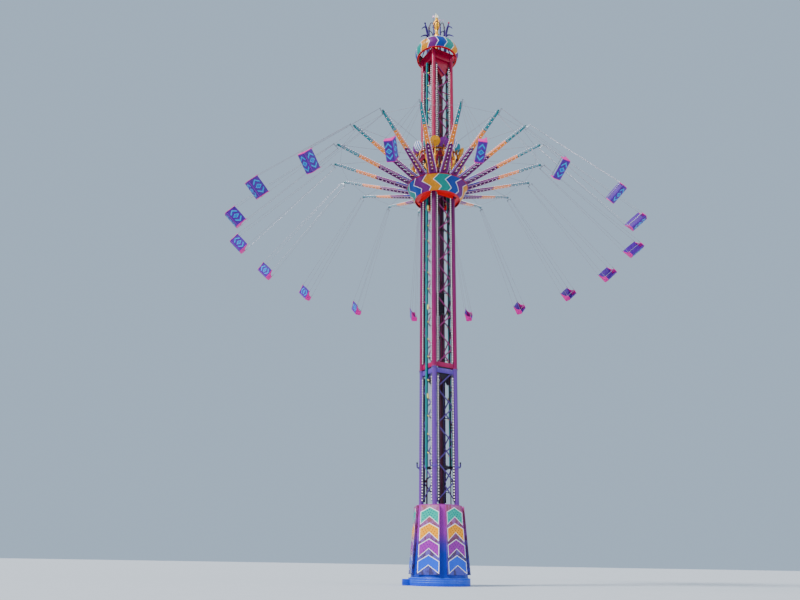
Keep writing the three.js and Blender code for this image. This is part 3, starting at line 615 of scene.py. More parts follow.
def lathe(profile: Sequence[Flat], sides: int, closed: bool = True) -> Shape:
    """Spins a profile about Z.

    Args:
        profile: radii and heights, in order.
        sides: the steps of the full turn.
        closed: whether the profile returns to its first point.

    Returns:
        The turned shape.
    """
    shape = bmesh.new()
    verts = [shape.verts.new((r, 0.0, z)) for r, z in profile]
    ends = verts[1:] + (verts[:1] if closed else [])
    edges = [shape.edges.new(pair) for pair in zip(verts, ends)]
    geom, up = verts + edges, (0, 0, 1)
    bmesh.ops.spin(shape, geom=geom, axis=up, angle=FULL_TURN, steps=sides, use_merge=True)
    return tidied(shape)


def hoop(radius: float, height: float, thick: float, sides: int = 72, steps: int = 8) -> Shape:
    """Makes a round hoop about Z at a height."""
    return lathe(circle(thick, steps, radius, height), sides)


def circle(
    radius: float, sides: int, x: float = 0.0, y: float = 0.0, squash: float = 1.0
) -> list[Flat]:
    """Returns the points of a circle, or of an ellipse whose Y is squashed."""
    turns = [i * FULL_TURN / sides for i in range(sides)]
    return [(x + radius * math.cos(t), y + squash * radius * math.sin(t)) for t in turns]


def plate(outline: Sequence[Flat], thickness: float, holes: Iterable[Sequence[Flat]] = ()) -> Shape:
    """Makes a flat plate in X and Y, from z = 0 up.

    Args:
        outline: its outer points, in order.
        thickness: its thickness.
        holes: the outlines of the holes through it.

    Returns:
        The plate.
    """
    shape = bmesh.new()
    edges = []
    for loop in (outline, *holes):
        verts = [shape.verts.new((x, y, 0.0)) for x, y in loop]
        edges += [shape.edges.new(pair) for pair in zip(verts, verts[1:] + verts[:1])]
    up = (0, 0, 1)
    bmesh.ops.triangle_fill(shape, use_beauty=True, use_dissolve=False, edges=edges, normal=up)
    raised = bmesh.ops.extrude_face_region(shape, geom=shape.faces[:])["geom"]
    verts = [item for item in raised if isinstance(item, bmesh.types.BMVert)]
    bmesh.ops.translate(shape, verts=verts, vec=(0, 0, thickness))
    return tidied(shape)


def standing(
    outline: Sequence[Flat], thickness: float, holes: Iterable[Sequence[Flat]] = ()
) -> Shape:
    """Makes a plate that stands up: its outline lies in X and Z, and Y = 0 is its middle."""
    upright = turned(90.0, "X") @ moved(0, 0, -thickness / 2)
    return placed(plate(outline, thickness, holes), upright)


def sheet(
    columns: int, rows: int, place: Callable[[float, float], Point], thickness: float
) -> Shape:
    """Bends a flat grid over a surface and gives it a thickness.

    Args:
        columns: its cells from u = -1 to 1.
        rows: its cells from v = 0 to 1.
        place: the surface's point at u and v.
        thickness: how far it goes in from the surface.

    Returns:
        The sheet.
    """
    shape = bmesh.new()
    bmesh.ops.create_grid(shape, x_segments=columns, y_segments=rows, size=1.0)
    for vert in shape.verts:
        vert.co = place(vert.co.x, (vert.co.y + 1.0) / 2.0)
    bmesh.ops.recalc_face_normals(shape, faces=shape.faces[:])
    bmesh.ops.solidify(shape, geom=shape.faces[:], thickness=thickness)
    return tidied(shape)


def between(stops: Sequence[Flat], at_stop: float) -> float:
    """Reads a table of stops and values.

    Args:
        stops: stops and their values, in order.
        at_stop: where it is read.

    Returns:
        The value there.
    """
    for (near, start), (far, end) in zip(stops, stops[1:]):
        if at_stop <= far:
            return start + (end - start) * (at_stop - near) / (far - near)
    return stops[-1][1]


def swept(points: Sequence[Point], radii: Sequence[float], sides: int = 8, steps: int = 5) -> Shape:
    """Makes a smooth round limb through points.

    Args:
        points: the points that its middle line passes.
        radii: its radius at each point.
        sides: its number of sides, an even number.
        steps: the steps between two points.

    Returns:
        The limb.
    """
    curve = bpy.data.curves.new("limb", "CURVE")
    curve.dimensions = "3D"
    curve.bevel_depth = 1.0
    curve.bevel_resolution = max(0, sides // 2 - 2)
    curve.resolution_u = steps
    curve.use_fill_caps = True
    spline = curve.splines.new("BEZIER")
    spline.bezier_points.add(len(points) - 1)
    for knot, point, radius in zip(spline.bezier_points, points, radii):
        knot.co = point
        knot.radius = radius
        knot.handle_left_type = "AUTO"
        knot.handle_right_type = "AUTO"
    holder = bpy.data.objects.new("limb", curve)
    mesh = bpy.data.meshes.new_from_object(holder)
    shape = bmesh.new()
    shape.from_mesh(mesh)
    bpy.data.objects.remove(holder)
    bpy.data.curves.remove(curve)
    bpy.data.meshes.remove(mesh)
    return tidied(shape)


# Pieces


@dataclass
class Piece:
    """One visible piece, gathered from shapes that each have a finish.

    Args:
        name: the piece's name.
        slot: the record's material slot.
        shade: the angle in degrees above which an edge stays sharp.
    """

    name: str
    slot: Slot
    shade: float = 32.0
    shape: Shape = field(default_factory=bmesh.new)
    finishes: list[Finish] = field(default_factory=list)

    def add(self, shape: Shape, finish: Finish, *places: Matrix) -> None:
        """Puts a shape into the piece, once for each place.

        Args:
            shape: the shape, which is used up.
            finish: its finish.
            places: where its copies go, or nothing for where it is.
        """
        index = self.index(finish)
        for face in shape.faces:
            face.material_index = index
        self.take(shape, *places)

    def index(self, finish: Finish) -> int:
        """Returns the number of a finish on this piece."""
        if finish not in self.finishes:
            self.finishes.append(finish)
        return self.finishes.index(finish)

    def take(self, shape: Shape, *places: Matrix) -> None:
        """Puts a shape whose faces already have their finishes at each place."""
        mesh = bpy.data.meshes.new("part")
        shape.to_mesh(mesh)
        shape.free()
        for place in places or (HERE,):
            copy = mesh.copy()
            copy.transform(place)
            self.shape.from_mesh(copy)
            bpy.data.meshes.remove(copy)
        bpy.data.meshes.remove(mesh)

    def mesh(self) -> bpy.types.Mesh:
        """Returns the piece's mesh with its materials."""
        mesh = bpy.data.meshes.new(self.name)
        self.shape.to_mesh(mesh)
        self.shape.free()
        for finish in self.finishes:
            mesh.materials.append(finish.material())
        mesh.shade_smooth()
        mesh.set_sharp_from_angle(angle=math.radians(self.shade))
        return mesh

    def show(self, body: Body, *nodes: str) -> None:
        """Puts the piece into the scene.

        Args:
            body: the body that it rides on.
            nodes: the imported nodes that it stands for.
        """
        show_mesh(self.mesh(), self.name, body.value, self.slot, *nodes)


def in_scene(name: str, data: bpy.types.ID) -> bpy.types.Object:
    """Makes an object of a mesh, light or camera and puts it into the scene."""
    holder = bpy.data.objects.new(name, data)
    bpy.context.scene.collection.objects.link(holder)
    return holder


def show_mesh(mesh: bpy.types.Mesh, name: str, body: str, slot: Slot, *nodes: str) -> None:
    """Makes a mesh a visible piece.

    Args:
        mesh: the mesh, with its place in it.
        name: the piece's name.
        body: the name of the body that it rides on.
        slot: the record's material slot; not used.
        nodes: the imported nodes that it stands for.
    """
    holder = in_scene(name, mesh)
    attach(holder, body)
    if nodes:
        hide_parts(*nodes)
    LOG.info("%s rides on %s with %d faces", name, body, len(mesh.polygons))


def repaint(node: str, finish: Finish) -> None:
    """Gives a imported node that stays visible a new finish."""
    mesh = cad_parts[node].data
    mesh.materials.clear()
    mesh.materials.append(finish.material())
    LOG.info("%s keeps its shape in %s", node, finish.name)


def bulb(radius: float) -> Shape:
    """Makes one small round bulb at the origin."""
    return ball((0, 0, 0), radius, 1)


def at(points: Iterable[Point]) -> list[Matrix]:
    """Returns the placing of each point."""
    return [Matrix.Translation(point) for point in points]


# Base


@dataclass
class ChevronRow:
    """The heights of one row of chevrons, at their middle and at their outer ends."""

    apex: float
    shoulder: float
    notch: float
    foot: float
    finish: Finish
    dots: Finish | None


@dataclass
class Base:
    """The flared skirt round the tower's foot, on its ring."""

    ring_r: float = 0.900
    ring_top: float = 0.210
    foot_r: float = 0.835
    top_r: float = 0.680
    top_z: float = 2.215
    wall: float = 0.012
    floor: float = 0.0303
    hole_half: float = 0.466
    sides: int = 96
    step_azimuth: float = -106.875
    board_count: int = 6
    board_azimuth: float = 6.5
    board_half: float = 23.0
    board_proud: float = 0.025
    board_bottom: float = 0.300
    board_top: float = 2.190
    chevron_share: float = 0.94
    edge_width: float = 0.019
    dot_r: float = 0.0135
    dot_pitch: float = 0.235
    dot_reach: float = 0.83
    bead_heights: Flat = (0.098, 0.150)
    rows: tuple[ChevronRow, ...] = (
        ChevronRow(2.138, 1.998, 1.865, 1.640, Paints.TEAL_CHEVRON, Paints.TEAL_DOT),
        ChevronRow(1.695, 1.548, 1.430, 1.186, Paints.AMBER_CHEVRON, Paints.AMBER_DOT),
        ChevronRow(1.262, 1.092, 0.988, 0.752, Paints.PURPLE_CHEVRON, Paints.PURPLE_DOT),
        ChevronRow(0.830, 0.655, 0.548, 0.330, Paints.BLUE_CHEVRON, None),
    )

    def radius(self, z: float) -> float:
        """Returns the cone's radius at a height."""
        share = (z - self.ring_top) / (self.top_z - self.ring_top)
        return self.foot_r + (self.top_r - self.foot_r) * share

    def depth(self, z: float) -> float:
        """Returns how far a board's face stands off the axis at a height."""
        return self.radius(z) + self.board_proud

    def reach(self, z: float) -> float:
        """Returns half a board's width at a height."""
        return self.depth(z) * math.tan(math.radians(self.board_half))

    def shell(self) -> None:
        """Builds the skirt's ring, cone, top and step."""
        piece = Piece("base_skirt_shell", Slot.SKIRT)
        inner = self.foot_r - self.wall
        r, top = self.ring_r, self.ring_top
        ring = [(inner, self.floor), (r, self.floor), (r, top - 0.008), (r - 0.003, top - 0.002)]
        ring += [(r - 0.008, top), (inner, top)]
        piece.add(lathe(ring, self.sides), Paints.BASE_RING)
        for z in self.bead_heights:
            piece.add(hoop(self.ring_r, z, 0.005, self.sides), Paints.BASE_BEAD)
        low = self.ring_top - 0.005
        steps = 12
        heights = [low + (self.top_z - 0.004 - low) * i / steps for i in range(steps + 1)]
        outer = [(self.radius(z), z) for z in heights]
        cone = outer + [(r - self.wall, z) for r, z in reversed(outer)]
        piece.add(lathe(cone, self.sides), Paints.SKIRT)
        top = plate(circle(self.top_r, self.sides), self.wall, [square(self.hole_half)])
        piece.add(top, Paints.SKIRT, moved(0, 0, self.top_z - self.wall))
        piece.add(hoop(self.top_r, self.top_z - 0.006, 0.008, self.sides), Paints.SKIRT)
        bead = hoop(self.foot_r + 0.004, self.ring_top + 0.006, 0.008, self.sides)
        piece.add(bead, Paints.BASE_BEAD)
        for one, other, edge, finish in (
            ((0.892, -0.075, 0.040), (1.090, 0.075, 0.170), 0.010, Paints.BASE_RING),
            ((0.935, -0.066, 0.168), (1.082, 0.066, 0.1745), 0.002, Paints.BASE_BEAD),
            ((0.902, -0.075, 0.0), (1.090, 0.075, 0.060), 0.004, Paints.BASE_RING),
        ):
            piece.add(box(one, other, edge), finish, azimuth(self.step_azimuth))
        piece.show(Body.TOWER, "base_skirt")

    def board(self) -> Shape:
        """Makes one flat board in front of the cone, facing +X."""
        turns = [math.radians(self.board_half * share) for share in (1.0, 0.5, 0.0, -0.5, -1.0)]
        shape = bmesh.new()
        loops = []
        for z in (self.board_bottom, self.board_top):
            front, reach, back = self.depth(z), self.reach(z), self.radius(z) - 0.005
            points = [(front, -reach), (front, reach)]
            points += [(back * math.cos(t), back * math.sin(t)) for t in turns]
            loops.append([shape.verts.new((x, y, z)) for x, y in points])
        low, high = loops
        shape.faces.new(low)
        shape.faces.new(high)
        for i, (one, other) in enumerate(zip(low, high)):
            shape.faces.new((one, other, high[i - 1], low[i - 1]))
        return bevelled(tidied(shape), 0.004)

    def heights(self, row: ChevronRow, out: float) -> Flat:
        """Returns a row's lower and upper height at a share of a board's half width."""
        bottom = row.notch + (row.foot - row.notch) * out
        return bottom, row.apex + (row.shoulder - row.apex) * out

    def chevron(self, row: ChevronRow, inset: float, lift: float) -> Shape:
        """Makes one flat chevron on a board that faces +X.

        Args:
            row: the row that it stands in.
            inset: how far its edges lie inside the row's outline.
            lift: how far its face stands off the board.

        Returns:
            The chevron.
        """

        def place(u: float, v: float) -> Point:
            """Returns the chevron's point at u and v."""
            reach = self.reach(row.shoulder) * self.chevron_share
            half = reach - inset
            bottom, top = self.heights(row, abs(u) * half / reach)
            bottom, top = bottom + inset * 1.12, top - inset * 1.12
            z = bottom + (top - bottom) * v
            return (self.depth(z) + lift, u * half, z)

        return sheet(2, 1, place, lift + 0.003)

    def dots(self, row: ChevronRow) -> list[Matrix]:
        """Returns the places of the round dots on a chevron of a board that faces +X."""
        places = []
        for v, shift in ((0.24, -0.05), (0.50, 0.45), (0.76, -0.05)):
            for column in range(-4, 4):
                u = (column + shift) * self.dot_pitch
                if abs(u) < self.dot_reach:
                    bottom, top = self.heights(row, abs(u))
                    z = bottom + (top - bottom) * v
                    y = u * self.reach(row.shoulder) * self.chevron_share
                    places.append(moved(self.depth(z), y, z))
        return places

    def boards(self) -> None:
        """Builds the boards with their beads, and the rows of chevrons on them."""
        turns = around(self.board_count, self.board_azimuth)
        boards = Piece("skirt_boards", Slot.SKIRT)
        boards.add(self.board(), Paints.BOARD, *turns)
        for side in (-1, 1):
            foot, head = (
                (self.depth(z) + 0.001, side * (self.reach(z) - 0.004), z)
                for z in (self.board_bottom + 0.004, self.board_top - 0.004)
            )
            boards.add(rod(foot, head, 0.005, 8), Paints.SKIRT, *turns)
        boards.show(Body.TOWER)
        for number, row in enumerate(self.rows, start=1):
            piece = Piece(f"chevron_row_{number}", Slot.SKIRT)
            piece.add(self.chevron(row, 0.0, 0.004), Paints.WHITE_EDGE, *turns)
            piece.add(self.chevron(row, self.edge_width, 0.007), row.finish, *turns)
            if row.dots:
                dot = rod((0.003, 0, 0), (0.0088, 0, 0.0005), self.dot_r, 10)
                places = [turn @ place for turn, place in product(turns, self.dots(row))]
                piece.add(dot, row.dots, *places)
            piece.show(Body.TOWER)

    def build(self) -> None:
        """Builds the base."""
        repaint("base_plate", Paints.BASE_RING)
        self.shell()
        self.boards()


# Tower

CORNER_NAMES = ("front_left", "front_right", "rear_right", "rear_left")
FACE_NAMES = ("front", "right", "rear", "left")


@dataclass
class Tower:
    """The four columns, the zigzag bracing between them and the bulb strips beside them."""

    half: float = 0.386
    column_r: float = 0.072
    foot: float = 0.0303
    top: float = 18.750
    joint: float = 6.390
    flange_r: float = 0.088
    flange_t: float = 0.0215
    brace_bottom: float = 2.330
    brace_top: float = 18.170
    beam_height: float = 0.150
    beam_gap: float = 0.024
    brace_edge: float = 0.3137
    lower_bays: int = 7
    upper_bays: int = 20
    tube_r: float = 0.021
    strip_x: float = 0.272
    strip_half: float = 0.035
    strip_face: float = 0.416
    strip_length: float = 1.3
    socket_r: float = 0.022
    bulb_r: float = 0.019
    bulb_pitch: float = 0.084
    # A dark trunk by the rear-right column, below the joint, that is painted shade on that column.
    trunk_place: Flat = (0.285, 0.270)
    trunk_r: float = 0.058
    trunk_top: float = 6.200
    pipe_top: float = 18.400
    bolt_r: float = 0.0805
    weld_heights: tuple[float, ...] = (3.6, 4.9, 8.2, 10.0, 11.8, 13.6, 15.4, 17.2)
    lug_heights: tuple[float, ...] = (2.9, 4.6, 7.6, 9.6, 11.6, 13.6, 15.6, 17.6)

    def columns(self) -> None:
        """Builds the round columns, with their bolted flanges and weld beads."""
        sides = 40
        for (x, y), name in zip(CORNERS, CORNER_NAMES):
            piece = Piece(f"column_skin_{name}", Slot.TOWER)
            place = moved(x * self.half, y * self.half, 0)
            for low, high, finish in (
                (self.foot, self.joint - 0.0005, Paints.LOWER_COLUMN),
                (self.joint + 0.0005, self.top, Paints.UPPER_COLUMN),
            ):
                piece.add(rod((0, 0, low), (0, 0, high), self.column_r, sides), finish, place)
            for side, finish in ((-1, Paints.LOWER_COLUMN), (1, Paints.UPPER_COLUMN)):
                near, far = self.joint + side * 0.001, self.joint + side * self.flange_t
                core = self.column_r - 0.01
                profile = [(core, near), (self.flange_r, near), (self.flange_r, far)]
                profile += [(self.column_r + 0.006, far), (core, far + side * 0.012)]
                piece.add(lathe(profile, sides), finish, place)
                start, end = ((self.bolt_r, 0, far + side * rise) for rise in (-0.004, 0.010))
                bolts = [place @ turn for turn in around(12)]
                piece.add(rod(start, end, 0.006, 6), Paints.STEEL, *bolts)
            for z in self.weld_heights:
                finish = Paints.LOWER_COLUMN if z < self.joint else Paints.UPPER_COLUMN
                piece.add(hoop(self.column_r - 0.001, z, 0.0035, sides, 6), finish, place)
            piece.show(Body.TOWER, f"column_{name}")

    def knots(self, bottom: float, top: float, bays: int) -> list[Point]:
        """Returns the points where a zigzag meets the columns.

        Args:
            bottom: its lowest point.
            top: its highest point.
            bays: its number of bars.

        Returns:
            The points, with the face at Y = 0.
        """
        reach = self.brace_edge - 0.012
        pitch = (top - bottom) / bays
        return [(reach if i % 2 else -reach, 0.0, bottom + i * pitch) for i in range(bays + 1)]

    def zigzags(self) -> tuple[list[Point], list[Point]]:
        """Returns the points of the zigzags below and above the joint."""
        gap = self.beam_gap + self.beam_height / 2
        lower = self.knots(self.brace_bottom, self.joint - gap, self.lower_bays)
        return lower, self.knots(self.joint + gap, self.brace_top, self.upper_bays)

    def bracing(self) -> None:
        """Builds each face's zigzag tubes, gussets and joint beams."""
        for turn, name in zip(quarters(), FACE_NAMES):
            piece = Piece(f"lattice_{name}", Slot.BRACING)
            place = turn @ moved(0, -self.half, 0)
            for knots, finish in zip(self.zigzags(), (Paints.LOWER_BRACE, Paints.UPPER_BRACE)):
                for start, end in zip(knots, knots[1:]):
                    piece.add(rod(start, end, self.tube_r, 10), finish, place)
                for x, _, z in knots:
                    side = 1 if x > 0 else -1
                    edge, tip = side * self.brace_edge, side * (self.brace_edge - 0.075)
                    outline = [(edge, z - 0.055), (edge, z + 0.055)]
                    outline += [(tip, z + 0.012), (tip, z - 0.012)]
                    piece.add(standing(outline, 0.010), finish, place)
            self.joint_beams(piece, place)
            piece.show(Body.TOWER, f"bracing_{name}")

    def joint_beams(self, piece: Piece, place: Matrix) -> None:
        """Adds one face's two joint beams, the web between them and the gusset below.

        Args:
            piece: the face's piece.
            place: the face's placing.
        """
        reach = self.brace_edge
        low_top = self.joint - self.beam_gap
        high_bottom = self.joint + self.beam_gap
        for bottom, finish in (
            (low_top - self.beam_height, Paints.JOINT_LAVENDER),
            (high_bottom, Paints.JOINT_CRIMSON),
        ):
            beam = box((-reach, -0.020, bottom), (reach, 0.020, bottom + self.beam_height), 0.006)
            piece.add(beam, finish, place)
        web = box((-0.205, -0.006, low_top - 0.004), (0.205, 0.006, high_bottom + 0.004), 0.0)
        piece.add(web, Paints.DARK, place)
        nut = rod((0, -0.026, low_top - 0.03), (0, 0.026, low_top - 0.03), 0.011, 6)
        places = [place @ moved(x, 0, 0) for x in (-0.24, -0.08, 0.08, 0.24)]
        piece.add(nut, Paints.STEEL, *places)
        under = low_top - self.beam_height
        high, low = under + 0.01, under - 0.26
        outline = [(-0.25, high), (0.25, high), (0.05, low), (-0.05, low)]
        piece.add(standing(outline, 0.006), Paints.DARK, place @ moved(0, 0.024, 0))

    def strips(self) -> None:
        """Builds the two bulb strips of each face."""
        reaches = ((self.brace_bottom, self.joint - 0.20), (self.joint + 0.20, self.brace_top))
        face_y = -self.strip_face
        for face, name in zip(quarters(), FACE_NAMES):
            piece = Piece(f"bulb_strips_{name}", Slot.TOWER, shade=60.0)
            spots = []
            for x, (low, high) in product((-self.strip_x, self.strip_x), reaches):
                count = int((high - low) / self.bulb_pitch)
                spots += [(x, face_y, low + (k + 0.5) * self.bulb_pitch) for k in range(count)]
                lengths = max(1, round((high - low) / self.strip_length))
                pitch = (high - low) / lengths
                for k in range(lengths):
                    foot, head = low + k * pitch, low + (k + 1) * pitch - 0.006
                    near, far = x - self.strip_half, x + self.strip_half
                    batten = box((near, face_y, foot), (far, face_y + 0.012, head), 0.002)
                    piece.add(batten, Paints.BATTEN, face)
            places = [face @ place for place in at(spots)]
            piece.add(rod((0, 0.002, 0), (0, -0.004, 0), self.socket_r, 8), Paints.DARK, *places)
            piece.add(ball((0, -0.006, 0), self.bulb_r, 1), Paints.BULB, *places)
            piece.show(Body.TOWER)

    def inner_pipes(self) -> None:
        """Builds the pipes inside the tower with the lugs that hold them, and a dark maroon trunk
        in front of the rear-right column below the joint, which is painted shade for the deep shade
        on that column.
        """
        piece = Piece("service_pipes_and_shade_trunk", Slot.DARK)
        for x, y, r in ((-0.262, 0.262, 0.024), (0.262, 0.262, 0.024), (0.262, -0.262, 0.016)):
            piece.add(rod((x, y, self.foot), (x, y, self.pipe_top), r, 12), Paints.TRUNK)
        # Painted shade: a dark trunk in front of the rear-right column, up to just below the joint.
        x, y = self.trunk_place
        piece.add(rod((x, y, self.foot), (x, y, self.trunk_top), self.trunk_r, 20), Paints.TRUNK)
        for z in self.lug_heights:
            lug = box((-0.345, -0.345, z + 0.005), (-0.255, -0.255, z + 0.045), 0.003)
            piece.add(lug, Paints.TRUNK, *quarters())
        piece.show(Body.TOWER)

    def build(self) -> None:
        """Builds the tower."""
        self.columns()
        self.bracing()
        self.strips()
        self.inner_pipes()
        for side in ("right", "left"):
            repaint(f"counterweight_guide_{side}", Paints.DARK)


@dataclass
class GuideRails:
    """The teal rails that the carriage climbs, with their clips."""

    tower: Tower
    lowest_clip: float = 3.4
    highest_plate: float = 18.1
    box_heights: tuple[float, ...] = (5.50, 8.45, 12.15)

    def clip_heights(self) -> list[float]:
        """Returns the heights where a zigzag bar crosses behind the rail."""
        heights = []
        for knots in self.tower.zigzags():
            heights += [(one[2] + other[2]) / 2 for one, other in zip(knots, knots[1:])]
        return [z for z in heights if z > self.lowest_clip]

    def build(self) -> None:
        """Paints the rails and builds their clips."""
        for side, name in ((1.0, "right"), (-1.0, "left")):
            repaint(f"guide_rail_{name}", Paints.RAIL)
            piece = Piece(f"rail_clips_{name}", Slot.RAIL)
            place = Matrix.Diagonal((side, side, 1.0, 1.0))
            for z in self.clip_heights():
                clip = bar((0.430, 0.040, z + 0.018), (0.416, 0.098, z - 0.016), 0.020, 0.026)
                piece.add(clip, Paints.CREAM, place)
                foot = box((0.398, 0.078, z - 0.034), (0.424, 0.108, z + 0.008))
                piece.add(foot, Paints.CREAM, place)
                if z + 0.3 < self.highest_plate and abs(z + 0.27 - self.tower.joint) > 0.2:
                    catch = box((0.392, -0.092, z + 0.250), (0.448, -0.042, z + 0.300))
                    piece.add(catch, Paints.DARK, place)
            for z in self.box_heights:
                case = box((0.410, 0.044, z - 0.07), (0.452, 0.112, z + 0.07), 0.008)
                piece.add(case, Paints.CREAM, place)
            piece.show(Body.TOWER)


@dataclass
class Landing:
    """The frame low on the tower, with a curved buffer hook at each column."""

    tower: Tower
    bottom: float = 3.300
    height: float = 0.060
    ring: float = 0.297
    hook_x: float = 0.538
    hook_top: float = 3.494
    hook_r: float = 0.024

    def build(self) -> None:
        """Builds the frame, its collars and hooks."""
        piece = Piece("landing_hooks", Slot.LANDING)
        top = self.bottom + self.height
        inner, outer = self.ring - 0.016, self.ring + 0.016
        beam = box((-outer, -outer, self.bottom), (outer - 0.001, -inner, top), 0.004)
        piece.add(beam, Paints.DARK, *quarters())
        half, column_r = self.tower.half, self.tower.column_r
        collar = section(column_r - 0.002, column_r + 0.018, self.bottom, top)
        for x, y in CORNERS:
            place = moved(x * half, y * half, 0)
            piece.add(lathe(collar, 32), Paints.JOINT_LAVENDER, place)
            z = self.bottom + self.height / 2
            reach = self.hook_x - half
            path = [(column_r, 0, z), (reach - 0.055, 0, z), (reach - 0.012, 0, z + 0.016)]
            path += [(reach, 0, z + 0.058), (reach, 0, self.hook_top - 0.012)]
            hook = swept(path, [self.hook_r] * len(path), 12, 6)
            place = place @ Matrix.Diagonal((x, x, 1.0, 1.0))
            piece.add(hook, Paints.LOWER_BRACE, place)
            tip = rod((reach, 0, self.hook_top - 0.05), (reach, 0, self.hook_top), 0.026, 12)
            piece.add(bevelled(tip, 0.006), Paints.DARK, place)
        piece.show(Body.TOWER, "landing_frame")


@dataclass
class Head:
    """The beams, panels and brackets at the top of the tower, under the crown."""

    tower: Tower
    beam_bottom: float = 18.420
    plate_bottom: float = 18.7503
    plate_t: float = 0.030
    beam_in: float = 0.342
    beam_out: float = 0.408
    side_drop: float = 0.300
    middle_drop: float = 0.780
    crown_bottom: float = 18.700
    crown_r: float = 0.745
    hole_half: float = 0.262

    def build(self) -> None:
        """Builds the head."""
        piece = Piece("tower_head", Slot.HEAD)
        half = self.tower.half + self.tower.column_r + 0.014
        deck = bevelled(plate(square(half), self.plate_t, [square(self.hole_half)]), 0.005)
        piece.add(deck, Paints.HEAD, moved(0, 0, self.plate_bottom))
        edge, low, high = self.tower.brace_edge, self.beam_bottom, self.plate_bottom
        beam = box((-edge, -self.beam_out, low), (edge, -self.beam_in, high), 0.008)
        piece.add(beam, Paints.HEAD, *quarters())
        side, knee = low - self.side_drop, low - self.middle_drop * 0.86
        outline = [(-edge, side), (-edge * 0.30, knee), (0.0, low - self.middle_drop)]
        outline += [(edge * 0.30, knee), (edge, side), (edge, low + 0.02), (-edge, low + 0.02)]
        panel = bevelled(standing(outline, 0.012), 0.003)
        y = self.beam_in + 0.008
        piece.add(panel, Paints.HEAD, moved(0, -y, 0), moved(0, y, 0))
        rivet = rod((0, -y - 0.010, 0), (0, -y + 0.010, 0), 0.008, 8)
        spots = [(x * edge * 0.9, 0, low - drop) for x in (-1, 1) for drop in (0.05, 0.15, 0.25)]
        spots += [(x * edge * 0.45, 0, low - drop) for x in (-1, 1) for drop in (0.05, 0.50)]
        piece.add(rivet, Paints.HEAD, *at(spots), *[turned(180.0) @ m for m in at(spots)])
        corner, rim, seat = (half - 0.030) * math.sqrt(2), self.crown_r, self.crown_bottom
        bracket = [(corner, high + 0.01), (corner, high - 0.26), (corner + 0.022, high - 0.26)]
        bracket += [(rim - 0.06, seat - 0.075), (rim - 0.004, seat - 0.046)]
        bracket += [(rim - 0.004, seat - 0.001), (corner + 0.024, seat - 0.001)]
        bracket.append((corner + 0.024, high + 0.01))
        piece.add(bevelled(standing(bracket, 0.040), 0.004), Paints.HEAD, *around(4, 45.0))
        piece.show(Body.TOWER, "head_frame")


# Panel bands and the crown

PANELS = (Paints.PANEL_BLUE, Paints.PANEL_PURPLE, Paints.PANEL_AMBER, Paints.PANEL_GREEN)


@dataclass
class PanelBand:
    """A band of coloured panels round the axis, with white edges that zigzag up it."""

    low_z: float
    high_z: float
    low_r: float
    high_r: float
    bulge: float
    kink_azimuth: float
    kinks: tuple[Flat, ...]
    steps: tuple[int, ...]
    colours: tuple[Finish, ...]
    columns: int
    stripe: float
    lift: float
    panels: int = 15

    def point(self, turn: float, share: float, lift: float) -> Point:
        """Returns a point over the band.

        Args:
            turn: its azimuth, in degrees.
            share: its share of the band's height.
            lift: how far it stands off the band.

        Returns:
            The point.
        """
        r = self.low_r + share * (self.high_r - self.low_r) + lift
        r += self.bulge * math.sin(math.pi * share)
        z = self.low_z + share * (self.high_z - self.low_z)
        return (r * math.sin(math.radians(turn)), -r * math.cos(math.radians(turn)), z)

    def rows(self) -> list[float]:
        """Returns the shares of the height at which a panel has a row, one of them at each kink."""
        stops = [0.02, *(share for share, _ in self.kinks[1:-1]), 0.98]
        made = []
        for low, high, steps in zip(stops, stops[1:], self.steps):
            made += [low + (high - low) * i / steps for i in range(steps)]
        return [*made, stops[-1]]

    def strip(self, start: float, end: float, lift: float, columns: int, thickness: float) -> Shape:
        """Makes a sheet between two azimuths that follows the zigzag.

        Args:
            start: the azimuth of its left edge where the zigzag is at zero, in degrees.
            end: that of its right edge.
            lift: how far it stands off the band.
            columns: its cells across.
            thickness: its thickness.

        Returns:
            The sheet.
        """
        rows = self.rows()

        def place(u: float, v: float) -> Point:
            """Returns the strip's point at u and v."""
            share = rows[round(v * (len(rows) - 1))]
            turn = start + between(self.kinks, share) + (u + 1) / 2 * (end - start)
            return self.point(turn, share, lift)

        return sheet(columns, len(rows) - 1, place, thickness)

    def dress(self, piece: Piece) -> None:
        """Adds the panels and their white edges to a piece."""
        pitch = 360.0 / self.panels
        for i in range(self.panels):
            turn = self.kink_azimuth + i * pitch
            seen = i if i <= self.panels // 2 else i - self.panels
            left, right = turn + self.stripe, turn + pitch - self.stripe
            panel = self.strip(left, right, self.lift, self.columns, 0.006)
            piece.add(panel, self.colours[seen % len(self.colours)])
            edge = self.strip(turn - self.stripe, turn + self.stripe, self.lift + 0.003, 1, 0.010)
            piece.add(edge, Paints.WHITE_EDGE)

    def lining(self, steps: int, inset: float, wall: float, sides: int) -> Shape:
        """Makes the wall behind the panels.

        Args:
            steps: its steps up the band.
            inset: how far it lies inside the band.
            wall: its thickness.
            sides: the steps of its full turn.

        Returns:
            The wall.
        """
        points = [self.point(90.0, i / steps, -inset) for i in range(steps + 1)]
        outer = [(x, z) for x, _, z in points]
        return lathe(outer + [(x - wall, z) for x, z in reversed(outer)], sides)


